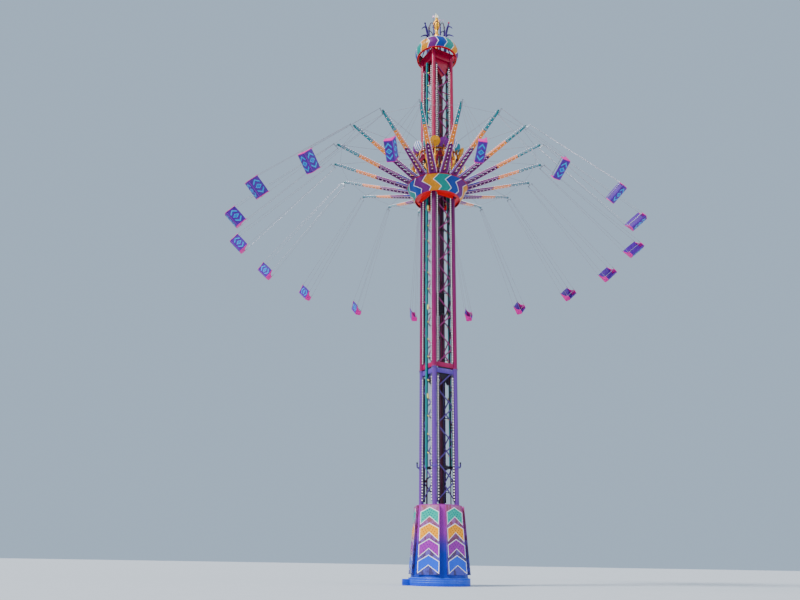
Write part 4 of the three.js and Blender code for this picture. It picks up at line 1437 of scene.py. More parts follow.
@dataclass
class Crown:
    """The open band of coloured panels round the tower's head, and what stands on it."""

    bottom: float = 18.700
    top: float = 19.200
    edge_r: float = 0.745
    wall: float = 0.016
    flange_r: float = 0.752
    lamp_r: float = 0.722
    figure_azimuths: tuple[float, ...] = (-67.0, 5.0, 113.0, 185.0)
    cage_r: float = 0.320
    cage_legs: int = 8
    cage_azimuth: float = -7.0
    cage_foot: float = 18.800
    arch_foot: float = 20.000
    arch_top: float = 20.290
    flame_azimuth: float = 58.0

    def band(self) -> None:
        """Builds the panels, their white edges and the lining behind them."""
        piece = Piece("crown_panels", Slot.CROWN)
        band = PanelBand(
            low_z=self.bottom,
            high_z=self.top,
            low_r=self.edge_r,
            high_r=self.edge_r,
            bulge=0.075,
            kink_azimuth=-3.0,
            kinks=((0.0, -9.0), (0.45, 0.0), (1.0, -9.0)),
            steps=(5, 6),
            colours=PANELS[::-1],
            columns=6,
            stripe=0.8,
            lift=0.004,
        )
        band.dress(piece)
        piece.add(band.lining(10, 0.001, self.wall, 72), Paints.CROWN_LINING)
        flange = section(0.690, self.flange_r, self.bottom, self.bottom + 0.022)
        piece.add(bevelled(lathe(flange, 72), 0.004), Paints.CROWN_RED)
        piece.add(hoop(self.edge_r + 0.010, self.bottom + 0.008, 0.014), Paints.CROWN_RED)
        piece.add(hoop(self.edge_r + 0.002, self.top - 0.004, 0.011), Paints.WHITE_EDGE)
        lamps = [turn @ moved(self.lamp_r, 0, self.bottom - 0.004) for turn in around(40)]
        piece.add(bulb(0.010), Paints.RED_BULB, *lamps)
        piece.show(Body.TOWER, "crown_band")

    def stems(self) -> None:
        """Builds the stylised branching scrolls that stand on the band."""
        piece = Piece("crown_scrolls", Slot.FIGURE)
        rim = section(0.709, 0.743, self.top, self.top + 0.018)
        piece.add(bevelled(lathe(rim, 72), 0.004), Paints.CROWN_RED)
        body = [(0.728, 0.010), (0.625, 0.130), (0.600, 0.280)]
        body += [(0.640, 0.450), (0.715, 0.600), (0.764, 0.700)]
        upper = [(0.700, 0.585), (0.800, 0.520), (0.900, 0.420), (0.975, 0.300)]
        lower = [(0.610, 0.225), (0.740, 0.170), (0.880, 0.050), (0.990, -0.060), (1.040, -0.130)]
        turns = [azimuth(turn) for turn in self.figure_azimuths]
        for points, radii in (
            (body, (0.026, 0.034, 0.042, 0.044, 0.036, 0.018)),
            (upper, (0.028, 0.024, 0.020, 0.010)),
            (lower, (0.030, 0.028, 0.023, 0.018, 0.009)),
        ):
            limb = swept([(r, 0, self.top + z) for r, z in points], radii, 10, 6)
            piece.add(limb, Paints.INDIGO, *turns)
        for finish, places in ((Paints.INDIGO, turns[::2]), (Paints.BALL_RED, turns[1::2])):
            piece.add(ball((0.768, 0, self.top + 0.725), 0.037), finish, *places)
        self.cage(piece)
        self.stars(piece)
        piece.show(Body.TOWER, "crown_figures")

    def cage(self, piece: Piece) -> None:
        """Adds the thin legs round the spire, with arches between their tops.

        Args:
            piece: the scrolls' piece.
        """
        foot, spring, top = self.cage_foot, self.arch_foot, self.arch_top
        turns = around(self.cage_legs, self.cage_azimuth)
        r = self.cage_r
        leg = [(r, 0, foot), (r + 0.010, 0, 19.4), (r, 0, spring + 0.02)]
        piece.add(swept(leg, [0.034, 0.030, 0.026], 10, 5), Paints.INDIGO, *turns)
        half = math.radians(180.0 / self.cage_legs)
        arch = []
        for share in (-1.0, -0.80, -0.45, 0.0, 0.45, 0.80, 1.0):
            z = spring + (top - spring) * math.sqrt(1.0 - share * share)
            arch.append((r * math.cos(share * half), r * math.sin(share * half), z))
        ribs = around(self.cage_legs, self.cage_azimuth + 180.0 / self.cage_legs)
        piece.add(swept(arch, [0.017] * len(arch), 8, 4), Paints.ARCH, *ribs)
        piece.add(ball((r, 0, spring), 0.034), Paints.INDIGO, *turns)

    def stars(self, piece: Piece) -> None:
        """Adds the small pale stars on rods above the cage.

        Args:
            piece: the scrolls' piece.
        """
        star = [
            (r * math.sin(i * math.pi / 5), r * math.cos(i * math.pi / 5))
            for i, r in enumerate((0.062, 0.028) * 5)
        ]
        for z, turn in zip((20.44, 20.62) * 3, around(6, -2.0)):
            place = turn @ moved(0.250, 0, z) @ turned(90.0)
            piece.add(bevelled(standing(star, 0.020), 0.003), Paints.STAR, place)
            stalk = [(0.312, 0, 20.02), (0.262, 0, 20.26), (0.250, 0, z - 0.03)]
            piece.add(swept(stalk, [0.010, 0.009, 0.006]), Paints.ARCH, turn)

    def spire(self) -> None:
        """Builds the gold spire with its collars, leaves and two cream flames."""
        piece = Piece("gold_finial", Slot.GOLD)
        profile = [
            *((0.0, 18.7808), (0.330, 18.7808), (0.330, 18.797), (0.200, 18.815), (0.100, 18.845)),
            *((0.072, 18.900), (0.060, 19.050), (0.058, 19.340), (0.086, 19.370), (0.086, 19.405)),
            *((0.062, 19.440), (0.062, 19.600), (0.082, 19.700), (0.088, 19.780), (0.080, 19.900)),
            *((0.056, 19.980), (0.054, 20.120), (0.070, 20.200), (0.094, 20.310), (0.108, 20.400)),
            *((0.106, 20.480), (0.084, 20.580), (0.060, 20.670), (0.046, 20.740), (0.0, 20.750)),
        ]
        piece.add(lathe(profile, 32, closed=False), Paints.GOLD)
        flute = [(0.058, 0, 19.46), (0.084, 0, 19.70), (0.080, 0, 19.88), (0.054, 0, 19.97)]
        piece.add(swept(flute, [0.008, 0.012, 0.010, 0.006]), Paints.GOLD, *around(10))
        leaf = [(0.056, 0, 20.14), (0.090, 0, 20.28), (0.112, 0, 20.42)]
        leaf += [(0.100, 0, 20.54), (0.070, 0, 20.62)]
        piece.add(swept(leaf, [0.008, 0.014, 0.016, 0.012, 0.004]), Paints.GOLD, *around(8, 15.0))
        tall = [(0.012, 0, 20.72), (-0.036, 0, 20.80), (-0.018, 0, 20.90), (-0.040, 0, 20.985)]
        short = [(0.010, 0, 20.72), (0.046, 0, 20.78), (0.030, 0, 20.86), (0.050, 0, 20.930)]
        for flame, radii in (
            (tall, (0.024, 0.040, 0.026, 0.003)),
            (short, (0.020, 0.032, 0.020, 0.003)),
        ):
            piece.add(swept(flame, radii, 10, 6), Paints.PALE_LEAF, azimuth(self.flame_azimuth))
        piece.show(Body.TOWER, "gold_spire")

    def build(self) -> None:
        """Builds the crown."""
        self.band()
        self.stems()
        self.spire()


# Counterweight and carriage


@dataclass
class Counterweight:
    """The stack of iron blocks that balances the carriage."""

    bottom: float = 8.325
    top: float = 9.020
    half_x: float = 0.1617
    half_y: float = 0.160
    blocks: int = 6
    tie_half: float = 0.110

    def build(self) -> None:
        """Builds the blocks, their tie rods and guide shoes."""
        piece = Piece("counterweight_blocks", Slot.IRON)
        pitch = (self.top - self.bottom) / self.blocks
        x, y = self.half_x, self.half_y
        for i in range(self.blocks):
            low = self.bottom + i * pitch
            piece.add(box((-x, -y, low), (x, y, low + pitch - 0.003), 0.006), Paints.DARK)
        tie = rod((0, 0, self.bottom - 0.012), (0, 0, self.top + 0.012), 0.012, 10)
        piece.add(tie, Paints.STEEL, *at((x, y, 0) for x, y in square(self.tie_half)))
        for z in (self.bottom + 0.020, self.top - 0.100):
            for x, y in CORNERS:
                shoe = box((x * 0.155, y * 0.0103, z), (x * 0.1757, y * 0.0343, z + 0.080), 0.003)
                piece.add(shoe, Paints.STEEL)
        piece.show(Body.COUNTERWEIGHT, "counterweight")


@dataclass
class Carriage:
    """The climbing carriage inside the hub: red disc, windowed sleeve, slewing ring and rollers."""

    disc_z: float = 12.600
    disc_r: float = 0.772
    disc_t: float = 0.014
    apron: float = 0.105
    hole_half: float = 0.490
    sleeve_r: float = 0.640
    sleeve_wall: float = 0.016
    sleeve_top: float = 14.200
    slewing_r: float = 0.735
    slewing_top: float = 13.040
    slewing_t: float = 0.050
    window_half: float = 0.330
    window_bottom: float = 13.160
    window_top: float = 14.020
    rail_face: float = 0.461
    roller_r: float = 0.058
    roller_half: float = 0.032
    roller_levels: tuple[float, ...] = (12.720, 14.110)
    piece: Piece = field(default_factory=lambda: Piece("carriage_works", Slot.CARRIAGE))

    def disc(self) -> None:
        """Adds the red disc under the hub, with the square hole that hugs the tower."""
        hole = square(self.hole_half)
        disc = bevelled(plate(circle(self.disc_r, 96), self.disc_t, [hole]), 0.003)
        self.piece.add(disc, Paints.DISC_RED, moved(0, 0, self.disc_z))
        self.piece.add(hoop(self.disc_r - 0.006, self.disc_z + 0.004, 0.008, 96), Paints.DISC_RED)
        low, high = self.disc_z - self.apron, self.disc_z + 0.002
        outline = [(-0.345, high), (-0.310, low), (0.310, low), (0.345, high)]
        apron = bevelled(standing(outline, 0.012), 0.003)
        lip = box((-0.498, -0.502, self.disc_z - 0.006), (0.498, -0.491, self.disc_z + 0.05), 0.002)
        lamp = ball((0.42, -0.60, self.disc_z - 0.004), 0.018)
        out = moved(0, -self.hole_half - 0.007, 0)
        self.piece.add(lip, Paints.SLEEVE, *around(4))
        self.piece.add(apron, Paints.DISC_UNDER, *(turn @ out for turn in around(4)))
        self.piece.add(lamp, Paints.RED_BULB, *around(4))

    def sleeve(self) -> None:
        """Adds the round sleeve, open at four windows, and the slewing ring."""
        inner, outer = self.sleeve_r, self.sleeve_r + self.sleeve_wall
        foot = self.disc_z + 0.004
        for low, high in ((foot, self.window_bottom), (self.window_top, self.sleeve_top)):
            self.piece.add(lathe(section(inner, outer, low, high), 72), Paints.SLEEVE)
        post = 45.0 - math.degrees(math.asin(self.window_half / outer))

        def corner(u: float, v: float) -> Point:
            """Returns a post's point at u and v."""
            turn = math.radians(u * post)
            z = self.window_bottom - 0.01 + v * (self.window_top - self.window_bottom + 0.02)
            return (outer * math.cos(turn), outer * math.sin(turn), z)

        self.piece.add(sheet(6, 6, corner, self.sleeve_wall), Paints.SLEEVE, *around(4, 45.0))
        low = self.slewing_top - self.slewing_t
        ring = section(outer - 0.004, self.slewing_r, low, self.slewing_top - 0.002)
        self.piece.add(bevelled(lathe(ring, 72), 0.004), Paints.STEEL)
        bolt = rod((0.700, 0, low - 0.014), (0.700, 0, low + 0.004), 0.010, 6)
        self.piece.add(bolt, Paints.DARK, *around(36))
        for z in (self.window_bottom + 0.005, self.window_top - 0.005, self.sleeve_top - 0.006):
            self.piece.add(hoop(outer, z, 0.009), Paints.CROWN_RED)

    def rollers(self) -> None:
        """Adds the guide rollers in their forks."""
        x = self.rail_face + 0.0003 + self.roller_r
        sides = (HERE, turned(180.0))
        for z in self.roller_levels:
            tyre = rod((x, -self.roller_half, z), (x, self.roller_half, z), self.roller_r, 32)
            self.piece.add(bevelled(tyre, 0.006), Paints.DARK, *sides)
            self.piece.add(rod((x, -0.046, z), (x, 0.046, z), 0.020, 12), Paints.STEEL, *sides)
            outline = [(x - 0.030, z - 0.026), (self.sleeve_r + 0.006, z - 0.050)]
            outline += [(self.sleeve_r + 0.006, z + 0.050), (x - 0.030, z + 0.026)]
            for y in (-0.039, 0.039):
                fork = bevelled(standing(outline, 0.012), 0.002)
                self.piece.add(fork, Paints.SLEEVE, *[side @ moved(0, y, 0) for side in sides])

    def build(self) -> None:
        """Builds the carriage."""
        self.disc()
        self.sleeve()
        self.rollers()
        self.piece.show(Body.CARRIAGE, "carriage_frame")


# Hub


@dataclass
class Hub:
    """The turning band with its zigzag panels, its rims, its cover and its lamps."""

    bottom_z: float = 12.540
    bottom_r: float = 0.790
    top_r: float = 1.065
    cover_z: float = 13.0403
    cover_t: float = 0.024
    bore_r: float = 0.690

    def build(self) -> None:
        """Builds the zigzag panels, their white edges, the rims and the cover."""
        piece = Piece("hub_panels", Slot.HUB)
        band = PanelBand(
            low_z=self.bottom_z,
            high_z=self.cover_z + 0.008,
            low_r=self.bottom_r,
            high_r=self.top_r,
            bulge=0.012,
            kink_azimuth=-16.0,
            kinks=((0.0, 11.0), (0.24, 17.6), (0.65, 0.0), (1.0, 11.6)),
            steps=(2, 5, 4),
            colours=PANELS,
            columns=8,
            stripe=0.75,
            lift=0.003,
        )
        band.dress(piece)
        piece.add(band.lining(8, 0.002, 0.012, 96), Paints.SLEEVE)
        top = self.cover_z + self.cover_t
        cover = section(self.bore_r, self.top_r, self.cover_z, top)
        piece.add(bevelled(lathe(cover, 96), 0.004), Paints.DISC_RED)
        piece.add(hoop(self.top_r + 0.002, top - 0.010, 0.010, 96), Paints.HEAD)
        piece.add(hoop(self.bottom_r, self.bottom_z + 0.004, 0.008, 96), Paints.DISC_RED)
        lamps = [turn @ moved(self.top_r - 0.02, 0, top + 0.006) for turn in around(72, 2.5)]
        piece.add(bulb(0.012), Paints.BULB, *lamps)
        piece.show(Body.CAROUSEL, "hub_band")


@dataclass
class Badge:
    """One round badge: its face's finish, and the finish of its stripes where it has them."""

    face: Finish
    stripes: Finish | None


@dataclass
class Ornaments:
    """Gold and bronze scroll legs that carry a ring of round badges above the hub."""

    foot: float = 13.0646
    ring_z: float = 14.280
    badge_r: float = 0.185
    badge_t: float = 0.044
    badge_outs: tuple[float, ...] = (0.860, 0.795)
    badge_z: float = 14.490
    tilt: float = 28.0
    azimuths: tuple[float, ...] = (
        *(8.0, 30.5, 53.0, 75.5, 96.5, 123.5, 144.0, 165.5),
        *(188.0, 210.5, 233.0, 255.5, 276.5, 304.0, 323.0, 345.5),
    )
    badges: tuple[Badge, ...] = (
        Badge(Paints.WHITE_EDGE, Paints.BADGE_BLUE),
        Badge(Paints.BADGE_GREEN, Paints.BADGE_BLUE),
        Badge(Paints.BADGE_GOLD, None),
        Badge(Paints.BADGE_PURPLE, None),
    )

    def disc(self, badge: Badge) -> list[tuple[Shape, Finish]]:
        """Makes one badge at the origin, facing +X.

        Args:
            badge: its finishes.

        Returns:
            Shapes with their finishes.
        """
        r, half = self.badge_r, self.badge_t / 2
        profile = [(0.0, -half), (r * 0.95, -half), (r * 0.94, half + 0.004)]
        profile += [(r * 0.65, half + 0.018), (r * 0.35, half + 0.027), (0.0, half + 0.030)]
        face = lathe(profile, 36, closed=False)
        rim = lathe(section(r * 0.93, r, -half, half + 0.005), 36)
        made = [(bevelled(rim, 0.004), Paints.WHITE_EDGE if badge.stripes else badge.face)]
        if badge.stripes:
            pitch = r * 0.25
            for k in range(-3, 4):
                divided(face, (0, k * pitch, 0), (0, 1, 0))
            stripes = face.copy()
            for kept, parity in ((stripes, 1), (face, 0)):
                rows = [(f, math.floor(f.calc_center_median().y / pitch)) for f in kept.faces]
                rest = [f for f, row in rows if row % 2 == parity]
                bmesh.ops.delete(kept, geom=rest, context="FACES")
            made.append((stripes, badge.stripes))
        else:
            petal = rod((r * 0.15, 0, half + 0.026), (r * 0.84, 0, half + 0.004), 0.010, 6, 0.016)
            for turn in around(16):
                made.append((placed(petal.copy(), turn), badge.face))
            petal.free()
        made.append((face, badge.face))
        return [(placed(shape, turned(90.0, "Y")), finish) for shape, finish in made]

    def limb(self, points: Sequence[Point], radii: Sequence[float], *fineness: int) -> Shape:
        """Makes a limb whose heights are counted from the hub's cover."""
        return swept([(x, y, self.foot + z) for x, y, z in points], radii, *fineness)

    def build(self) -> None:
        """Builds the ring, the legs and the badges."""
        piece = Piece("hub_ornaments", Slot.GOLD)
        ring = section(0.724, 0.784, self.ring_z - 0.024, self.ring_z)
        piece.add(bevelled(lathe(ring, 72), 0.005), Paints.BRONZE)
        turns = [azimuth(a) for a in self.azimuths]
        leg = [(0.742, 0, 0.0), (0.790, 0, 0.28), (0.862, 0, 0.56), (0.872, 0, 0.74)]
        leg += [(0.820, 0, 0.98), (0.784, 0, 1.14), (0.790, 0, 1.34)]
        radii = (0.034, 0.028, 0.026, 0.025, 0.023, 0.023, 0.020)
        for finish, places in ((Paints.GOLD, turns[::2]), (Paints.BRONZE, turns[1::2])):
            piece.add(self.limb(leg, radii, 10, 6), finish, *places)
        curl = [(0.862, 0, 0.54), (0.930, 0, 0.62), (0.985, 0, 0.76), (0.962, 0, 0.86)]
        curl.append((0.918, 0, 0.82))
        piece.add(self.limb(curl, (0.020, 0.019, 0.016, 0.012, 0.007)), Paints.GOLD, *turns)
        for y in (-1, 1):
            horn = [(0.868, 0, 0.76), (0.880, y * 0.062, 0.88), (0.866, y * 0.098, 1.02)]
            horn.append((0.842, y * 0.090, 1.12))
            piece.add(self.limb(horn, (0.020, 0.018, 0.014, 0.005)), Paints.BRONZE, *turns)
            twig = [(0.800, 0, 0.32), (0.834, y * 0.072, 0.42), (0.822, y * 0.096, 0.58)]
            twig.append((0.806, y * 0.066, 0.64))
            piece.add(self.limb(twig, (0.018, 0.017, 0.013, 0.007)), Paints.GOLD, *turns)
        z = self.foot
        piece.add(ball((0.874, 0, z + 0.76), 0.044), Paints.BRONZE, *turns)
        piece.add(rod((0.752, 0, z), (0.752, 0, z + 0.018), 0.056, 20), Paints.BRONZE, *turns)
        tilt = turned(self.tilt, "Y")
        for number, badge in enumerate(self.badges):
            out = self.badge_outs[number % len(self.badge_outs)]
            place = moved(out, 0, self.badge_z) @ tilt
            places = [turn @ place for turn in turns[number :: len(self.badges)]]
            for shape, finish in self.disc(badge):
                piece.add(shape, finish, *places)
        piece.show(Body.CAROUSEL, "ornament_ring")


# Arms


@dataclass
class Arms:
    """The long arms in four colours, pierced near the hub, with rows of bulbs and a short nose."""

    count: int = 18
    root: float = 0.790
    bend: float = 1.045
    waist: float = 2.300
    end: float = 3.630
    rise: float = 0.945
    foot_z: float = 13.0646
    tip_r: float = 3.691
    tip_z: float = 14.037
    skin: float = 0.006
    depths: tuple[Flat, ...] = ((0.790, 0.060), (1.045, 0.070), (3.630, 0.050))
    widths: tuple[Flat, ...] = ((0.790, 0.104), (1.045, 0.134), (2.300, 0.080), (3.630, 0.048))
    stretches: tuple[tuple[float, Finish], ...] = (
        (1.480, Paints.ARM_BLUE),
        (2.180, Paints.ARM_PURPLE),
        (2.920, Paints.ARM_ORANGE),
        (9.0, Paints.ARM_TEAL),
    )
    root_deck: Finish = Paints.ARM_PURPLE
    hole_start: float = 1.170
    hole_pitch: float = 0.145
    hole_count: int = 8
    lamp_count: int = 9
    bulb_pitch: float = 0.086
    bulb_r: float = 0.0115
    piece: Piece = field(default_factory=lambda: Piece("arm", Slot.ARM))

    def bottom(self, r: float) -> float:
        """Returns the height of the arm's underside at a radius."""
        return self.foot_z + self.rise * max(r - self.bend, 0.0) / (self.end - self.bend)

    def top(self, r: float) -> float:
        """Returns the height of the arm's upper side at a radius."""
        return self.bottom(r) + between(self.depths, r)

    def width(self, r: float) -> float:
        """Returns half the arm's width at a radius."""
        return between(self.widths, r)

    def split(self, shape: Shape) -> None:
        """Cuts a shape along the arm's bends and where its colours change.

        Args:
            shape: the shape, with X along the arm.
        """
        for r in (self.bend, self.waist, *(r for r, _ in self.stretches[:-1])):
            divided(shape, (r, 0, 0), (1, 0, 0))

    def coloured(self, shape: Shape, root: Finish) -> None:
        """Adds a shape to an arm in the colours of its stretches.

        Args:
            shape: the shape, which is used up.
            root: the finish of the stretch next to the hub.
        """
        first = self.stretches[0][1]
        for face in shape.faces:
            r = face.calc_center_median().x
            finish = next(paint for limit, paint in self.stretches if r < limit)
            face.material_index = self.piece.index(root if finish is first else finish)
        self.piece.take(shape)

    def decks(self) -> None:
        """Adds the lower and upper decks with their round holes."""
        outline = [(r, -w) for r, w in self.widths] + [(r, w) for r, w in reversed(self.widths)]
        spots = [self.hole_start + i * self.hole_pitch for i in range(self.hole_count)]
        holes = [circle(min(0.56 * self.width(r), 0.064), 16, r) for r in spots]
        for level in (self.bottom, self.top):
            deck = plate(outline, self.skin, holes)
            self.split(deck)
            drop = self.skin if level == self.top else 0.0
            for vert in deck.verts:
                vert.co.z += level(vert.co.x) - drop
            self.coloured(deck, self.root_deck)
        last = spots[-1] + self.hole_pitch / 2
        step = (self.end - 0.060 - last) / self.lamp_count
        lamps = [r + self.hole_pitch / 2 for r in spots[:-1]]
        lamps += [last + i * step for i in range(self.lamp_count)]
        places = at([(r, 0, self.bottom(r)) for r in lamps])
        self.piece.add(ball((0, 0, -0.002), 0.014, 1), Paints.BULB, *places)
        self.piece.add(rod((0, 0, -0.003), (0, 0, 0.003), 0.024, 12), Paints.ARM_SOCKET, *places)

    def sides(self) -> None:
        """Adds the two side walls."""
        outline = [(self.root, 0.0), (self.end, 0.0), (self.end, 1.0), (self.root, 1.0)]
        for side in (-1, 1):
            wall = plate(outline, 1.0)
            self.split(wall)
            for vert in wall.verts:
                r, share, depth = vert.co
                z = self.bottom(r) + share * (self.top(r) - self.bottom(r))
                vert.co = (r, side * (self.width(r) - self.skin * depth), z)
            bmesh.ops.recalc_face_normals(wall, faces=wall.faces[:])
            self.coloured(wall, self.stretches[0][1])

    def edges(self) -> None:
        """Adds the pale beads along the arm's four edges and the bulbs on the upper two."""
        stations = (self.root, self.bend, self.waist, self.end)
        bulbs = []
        for side in (-1, 1):
            for level, radius in ((self.bottom, 0.0045), (self.top, 0.0055)):
                points = [(r, side * self.width(r), level(r)) for r in stations]
                for start, end in zip(points, points[1:]):
                    self.piece.add(rod(start, end, radius, 8), Paints.ARM_EDGE)
            for k in range(int((self.end - self.bend) / self.bulb_pitch)):
                r = self.bend + (k + 0.5) * self.bulb_pitch
                bulbs.append((r, side * (self.width(r) + 0.002), self.top(r) + 0.002))
        self.piece.add(bulb(self.bulb_r), Paints.BULB, *at(bulbs))

    def ends(self) -> None:
        """Adds the root's closing plate, the nose cheeks and the pin."""
        for r, finish in ((self.root, Paints.ARM_BLUE), (self.end, Paints.ARM_TEAL)):
            low, high, w = self.bottom(r) + 0.001, self.top(r) - 0.001, self.width(r) - 0.001
            self.piece.add(box((r - 0.004, -w, low), (r + 0.004, w, high), 0.002), finish)
        heel, x, z = self.end - 0.050, self.tip_r, self.tip_z
        outline = [(heel, self.bottom(heel) + 0.002), (x - 0.014, z - 0.028)]
        outline += [(x + 0.014, z - 0.028), (x + 0.028, z - 0.010), (x + 0.028, z + 0.020)]
        outline += [(x + 0.010, z + 0.032), (x - 0.014, z + 0.034), (heel, self.top(heel) - 0.002)]
        cheek = bevelled(standing(outline, 0.012), 0.002)
        self.piece.add(cheek, Paints.ARM_TEAL, *at([(0, -0.0202, 0), (0, 0.0202, 0)]))
        for near, far, radius, sides, finish in (
            (-0.036, 0.036, 0.012, 16, Paints.STEEL),
            (0.0268, 0.036, 0.020, 6, Paints.DARK),
            (-0.036, -0.0268, 0.020, 6, Paints.DARK),
        ):
            self.piece.add(rod((x, near, z), (x, far, z), radius, sides), finish)
        near, far, z = self.root + 0.01, self.bend - 0.03, self.foot_z
        self.piece.add(box((near, -0.118, z), (far, 0.118, z + 0.012), 0.003), Paints.DARK)

    def build(self) -> None:
        """Builds one arm and places its copies."""
        self.decks()
        self.sides()
        self.edges()
        self.ends()
        mesh = self.piece.mesh()
        for i, turn in enumerate(around(self.count), start=1):
            copy = mesh.copy()
            copy.transform(turn)
            show_mesh(copy, f"arm_skin_{i:02d}", Body.CAROUSEL.value, Slot.ARM, f"arm_{i:02d}")
        bpy.data.meshes.remove(mesh)


@dataclass
class Stays:
    """The white stays from the ring above the hub to the arms, and the lines between the arms."""

    arms: Arms
    lug_r: float = 3.520
    ring_z: float = 14.2803
    ring_r: float = 0.735
    rope_r: float = 0.0052

    def build(self) -> None:
        """Builds the ring, the lugs, the stays with their tensioners, and the lines."""
        piece = Piece("stay_ropes", Slot.CABLE)
        piece.add(hoop(self.ring_r, self.ring_z + 0.010, 0.0095), Paints.STEEL)
        r, z = self.lug_r, self.arms.top(self.lug_r)
        turns = around(self.arms.count)
        outline = [(r - 0.030, z + 0.001), (r + 0.010, z + 0.003)]
        outline += [(r + 0.004, z + 0.040), (r - 0.016, z + 0.046)]
        lug = standing(outline, 0.018)
        piece.add(bevelled(lug, 0.002), Paints.STEEL, *turns)
        start = Vector((self.ring_r + 0.008, 0, self.ring_z + 0.012))
        way = Vector((r - 0.008, 0, z + 0.034)) - start
        for near, far, radius, finish in (
            (0.0, 1.0, self.rope_r, Paints.ROPE),
            (0.06, 0.105, 0.013, Paints.STEEL),
            (0.965, 0.985, 0.011, Paints.STEEL),
        ):
            piece.add(rod(start + way * near, start + way * far, radius, 8), finish, *turns)
        step = math.radians(180.0 / self.arms.count)
        near, half = r * math.cos(step), r * math.sin(step)
        line = rod((near, -half, z + 0.026), (near, half, z + 0.026), self.rope_r * 0.8, 8)
        piece.add(line, Paints.ROPE, *around(self.arms.count, math.degrees(step)))
        piece.show(Body.CAROUSEL, "stay_cables")


# Chairs


@dataclass
class Chair:
    """A double seat on four ropes from a hanger on its arm's pin.

    Args:
        pin: the pin's placing.
        swing: how far the chair flies out, in degrees.
        lean: how far it trails, in degrees.
    """

    pin: Matrix
    swing: float
    lean: float
    length: float = 4.530
    drop: float = 0.095
    spreader: float = 0.118
    hanger_half: float = 0.0135
    half: float = 0.285
    wall: float = 0.016
    pan: float = -0.140
    back_top: float = 0.245
    front: float = -0.122
    rear: float = 0.112
    rope_r: float = 0.0042
    piece: Piece = field(default_factory=lambda: Piece("chair", Slot.SEAT))

    def seat(self) -> Matrix:
        """Returns the seat's placing under the hanger's pin."""
        up, down = moved(0, 0, -self.drop), moved(0, 0, self.drop - self.length)
        return up @ turned(-self.lean, "X") @ down

    def hanger(self) -> None:
        """Adds the hanger head and the bar that spreads the ropes."""
        outline = [(-0.024, -self.drop), (0.024, -self.drop), (0.024, 0.002), (0.018, 0.016)]
        outline += [(0.008, 0.022), (-0.008, 0.022), (-0.018, 0.016), (-0.024, 0.002)]
        head = standing(outline, 2 * self.hanger_half, [circle(0.0143, 16)])
        self.piece.add(head, Paints.STEEL)
        x, z = self.spreader, -self.drop
        self.piece.add(box((-x, -0.013, z - 0.012), (x, 0.013, z + 0.012), 0.005), Paints.STEEL)
        for end in (0.012 - x, x - 0.012):
            self.piece.add(rod((end, -0.022, z), (end, 0.022, z), 0.010, 10), Paints.DARK)

    def ropes(self) -> None:
        """Adds the four ropes and their end fittings."""
        place = self.seat()
        for x in (-1, 1):
            for y, z in ((self.front + 0.026, 0.036), (self.rear + 0.008, self.back_top - 0.040)):
                start = Vector((x * (self.spreader - 0.012), y / 8, -self.drop))
                end = place @ Vector((x * (self.half + 0.004), y, z))
                way = end - start
                self.piece.add(rod(start, end, self.rope_r, 8), Paints.ROPE)
                self.piece.add(rod(end - way.normalized() * 0.10, end, 0.008, 8), Paints.STEEL)
                self.piece.add(rod(start, start + way.normalized() * 0.06, 0.007, 8), Paints.STEEL)

    def side_outline(self) -> list[Flat]:
        """Returns the outline of a side, in Y and Z of the seat."""
        front, rear, pan, back = self.front, self.rear, self.pan, self.back_top
        return [
            *((front + 0.020, pan), (rear - 0.030, pan), (rear - 0.004, pan + 0.022)),
            *((rear + 0.006, pan + 0.060), (rear + 0.014, 0.100), (rear + 0.044, back + 0.018)),
            *((rear - 0.012, back - 0.050), (rear - 0.050, 0.130), (rear - 0.100, 0.078)),
            *((-0.050, 0.058), (front + 0.020, 0.052), (front + 0.004, 0.030)),
            *((front - 0.002, -0.040), (front + 0.002, pan + 0.030)),
        ]

    def shell(self) -> None:
        """Adds the bucket, its sides, the ridge between its two places and the lap bar."""
        place = self.seat()
        front, rear, pan = self.front, self.rear, self.pan
        profile = [
            *((front + 0.004, pan + 0.052), (front + 0.008, pan + 0.020)),
            *((front + 0.030, pan + 0.006), (-0.030, pan + 0.003)),
            *((0.060, pan + 0.004), (rear - 0.026, pan + 0.012)),
            *((rear - 0.008, pan + 0.034), (rear - 0.002, pan + 0.080), (rear + 0.006, 0.060)),
            *((rear + 0.016, 0.190), (rear + 0.018, self.back_top - 0.010)),
        ]

        def bucket(u: float, v: float) -> Point:
            """Returns the bucket's point at u and v."""
            step = v * (len(profile) - 1)
            i = min(int(step), len(profile) - 2)
            (y0, z0), (y1, z1) = profile[i], profile[i + 1]
            share = step - i
            crown = 0.010 * (1.0 - u * u) if v > 0.75 else 0.0
            return (u * (self.half - 0.004), y0 + (y1 - y0) * share, z0 + (z1 - z0) * share + crown)

        tub = sheet(12, 2 * (len(profile) - 1), bucket, self.wall)
        self.piece.add(tub, Paints.SHELL, place)
        y, z = rear - 0.006, pan + 0.034
        corner = rod((-self.half + 0.02, y, z), (self.half - 0.02, y, z), 0.016, 12)
        self.piece.add(corner, Paints.SHELL_EDGE, place)
        upright = turned(90.0) @ turned(90.0, "X")
        for x in (-self.half, self.half - self.wall):
            side = bevelled(plate(self.side_outline(), self.wall), 0.004)
            self.piece.add(side, Paints.SHELL_SIDE, place @ moved(x, 0, 0) @ upright)
        ridge = box((-0.014, front + 0.040, pan + 0.012), (0.014, rear - 0.010, -0.062), 0.008)
        self.piece.add(ridge, Paints.SHELL, place)
        bar_y = front + 0.036
        reach = self.half - 0.010
        path = [(-reach, bar_y + 0.030, -0.010), (-reach, bar_y, 0.020)]
        path += [(0.022 - reach, bar_y - 0.004, 0.034), (-0.1, bar_y - 0.006, 0.036)]
        path += [(-x, y, z) for x, y, z in reversed(path)]
        self.piece.add(swept(path, [0.009] * len(path), 10, 4), Paints.STEEL, place)

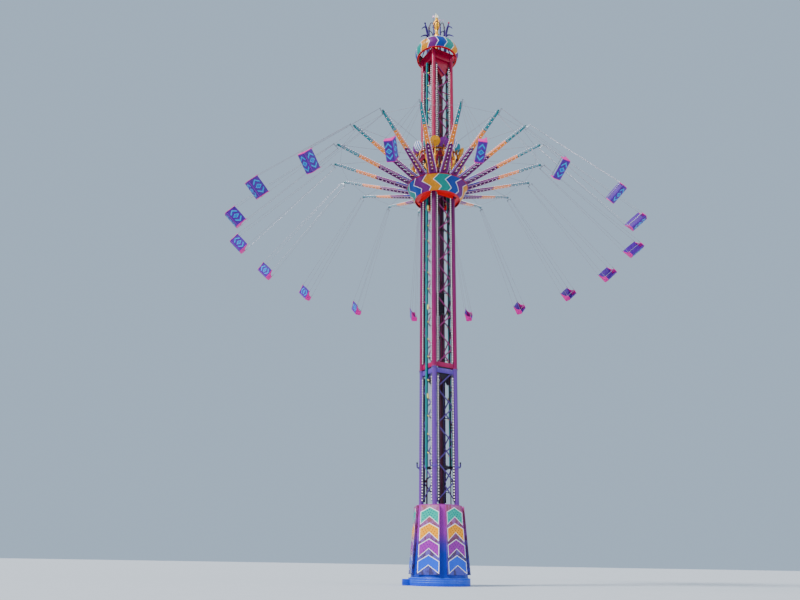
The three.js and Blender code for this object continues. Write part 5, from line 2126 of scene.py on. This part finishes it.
    def patterns(self) -> None:
        """Adds the diamond and chevron films on the back and under the pan."""
        seat = self.seat()
        under = seat @ moved(0, -0.004, self.pan + 0.0045) @ turned(180.0, "X")
        tilt = turned(-94.2, "X")
        behind = seat @ moved(0, self.rear + 0.0074, 0.068) @ tilt
        for place, half in ((under, 0.084), (behind, 0.118)):
            squash = half / 0.074
            for outer, inner, lift, finish in (
                (0.074, 0.044, 0.0030, Paints.DECAL),
                (0.044, 0.016, 0.0024, Paints.DECAL_DEEP),
                (0.016, 0.0, 0.0030, Paints.DECAL),
            ):
                holes = [circle(inner, 4, squash=squash)] if inner else []
                self.piece.add(plate(circle(outer, 4, squash=squash), lift, holes), finish, place)
            for side in (-1, 1):
                for near, far, lift, finish in (
                    (0.178, 0.226, 0.0030, Paints.DECAL),
                    (0.162, 0.178, 0.0024, Paints.DECAL_DEEP),
                ):
                    slope = 0.098
                    left, right = side * (near - slope), side * (far - slope)
                    outline = [(side * near, 0.0), (left, half), (right, half)]
                    outline += [(side * far, 0.0), (right, -half), (left, -half)]
                    self.piece.add(plate(outline, lift), finish, place)

    def mesh(self) -> bpy.types.Mesh:
        """Builds the chair and returns its mesh, in its place."""
        self.hanger()
        self.ropes()
        self.shell()
        self.patterns()
        mesh = self.piece.mesh()
        mesh.transform(self.pin @ turned(-self.swing, "Y"))
        return mesh


@dataclass
class Chairs:
    """The chairs, each at its swing and lean in degrees."""

    arms: Arms
    angles: tuple[Flat, ...] = (
        *((37.1, 2.4), (38.3, 1.6), (38.5, 3.8), (40.5, 3.4), (42.5, 2.2), (40.3, 5.2)),
        *((39.8, 4.8), (39.0, 5.4), (40.3, 4.2), (40.3, 1.2), (42.0, -0.6), (44.3, 0.4)),
        *((46.0, 2.4), (44.2, 4.8), (42.6, 5.4), (41.1, 5.2), (38.7, 3.8), (37.8, 3.1)),
    )

    def build(self) -> None:
        """Builds the chairs."""
        pin = moved(self.arms.tip_r, 0, self.arms.tip_z)
        turns = around(self.arms.count)
        for i, (turn, (swing, lean)) in enumerate(zip(turns, self.angles), start=1):
            name = f"chair_{i:02d}"
            mesh = Chair(turn @ pin, swing, lean).mesh()
            show_mesh(mesh, f"chair_skin_{i:02d}", name, Slot.SEAT, name)


# Studio


@dataclass
class Studio:
    """The floor, the light and the camera at the photograph's viewing angle."""

    eye: Point = (-11.428, -18.317, 0.567)
    heading: float = -28.60
    pitch: float = 20.90
    roll: float = -0.93
    lens: float = 31.12
    floor_half: float = 900.0

    def camera(self) -> None:
        """Makes the camera."""
        data = bpy.data.cameras.new("camera")
        data.lens = self.lens
        data.sensor_width = 36.0
        data.clip_start = 0.5
        data.clip_end = 3000.0
        holder = in_scene("camera", data)
        aim = turned(self.heading) @ turned(90.0 + self.pitch, "X") @ turned(-self.roll)
        holder.matrix_world = moved(*self.eye) @ aim
        bpy.context.scene.camera = holder

    def lights(self) -> None:
        """Makes the soft key and fill lights and the pale backdrop."""
        for name, energy, angle, tilt, turn in (
            ("key", 5.0, 14.0, 46.0, -84.0),
            ("fill", 0.9, 60.0, 60.0, 40.0),
        ):
            data = bpy.data.lights.new(name, "SUN")
            data.energy = energy
            data.angle = math.radians(angle)
            in_scene(name, data).rotation_euler = (math.radians(tilt), 0.0, math.radians(turn))
        world = bpy.data.worlds.new("studio")
        world.use_nodes = True
        backdrop = world.node_tree.nodes["Background"]
        backdrop.inputs["Color"].default_value = (0.52, 0.68, 0.88, 1.0)
        backdrop.inputs["Strength"].default_value = 0.80
        bpy.context.scene.world = world

    def floor(self) -> None:
        """Makes the plain pale floor."""
        shape = bmesh.new()
        bmesh.ops.create_grid(shape, x_segments=1, y_segments=1, size=self.floor_half)
        mesh = bpy.data.meshes.new("floor")
        shape.to_mesh(mesh)
        shape.free()
        mesh.materials.append(Paints.FLOOR.material())
        in_scene("floor", mesh)

    def build(self) -> None:
        """Builds the studio."""
        self.camera()
        self.lights()
        self.floor()


def main() -> None:
    """Builds every sub-assembly in order."""
    logging.basicConfig(level=logging.INFO, format="%(name)s: %(message)s")
    Studio().build()
    tower = Tower()
    arms = Arms()
    parts = (
        Base(),
        tower,
        GuideRails(tower),
        Landing(tower),
        Head(tower),
        Crown(),
        Counterweight(),
        Carriage(),
        Hub(),
        Ornaments(),
        arms,
        Stays(arms),
        Chairs(arms),
    )
    for part in parts:
        LOG.info("building %s", type(part).__name__)
        part.build()


if __name__ == "__main__":
    main()
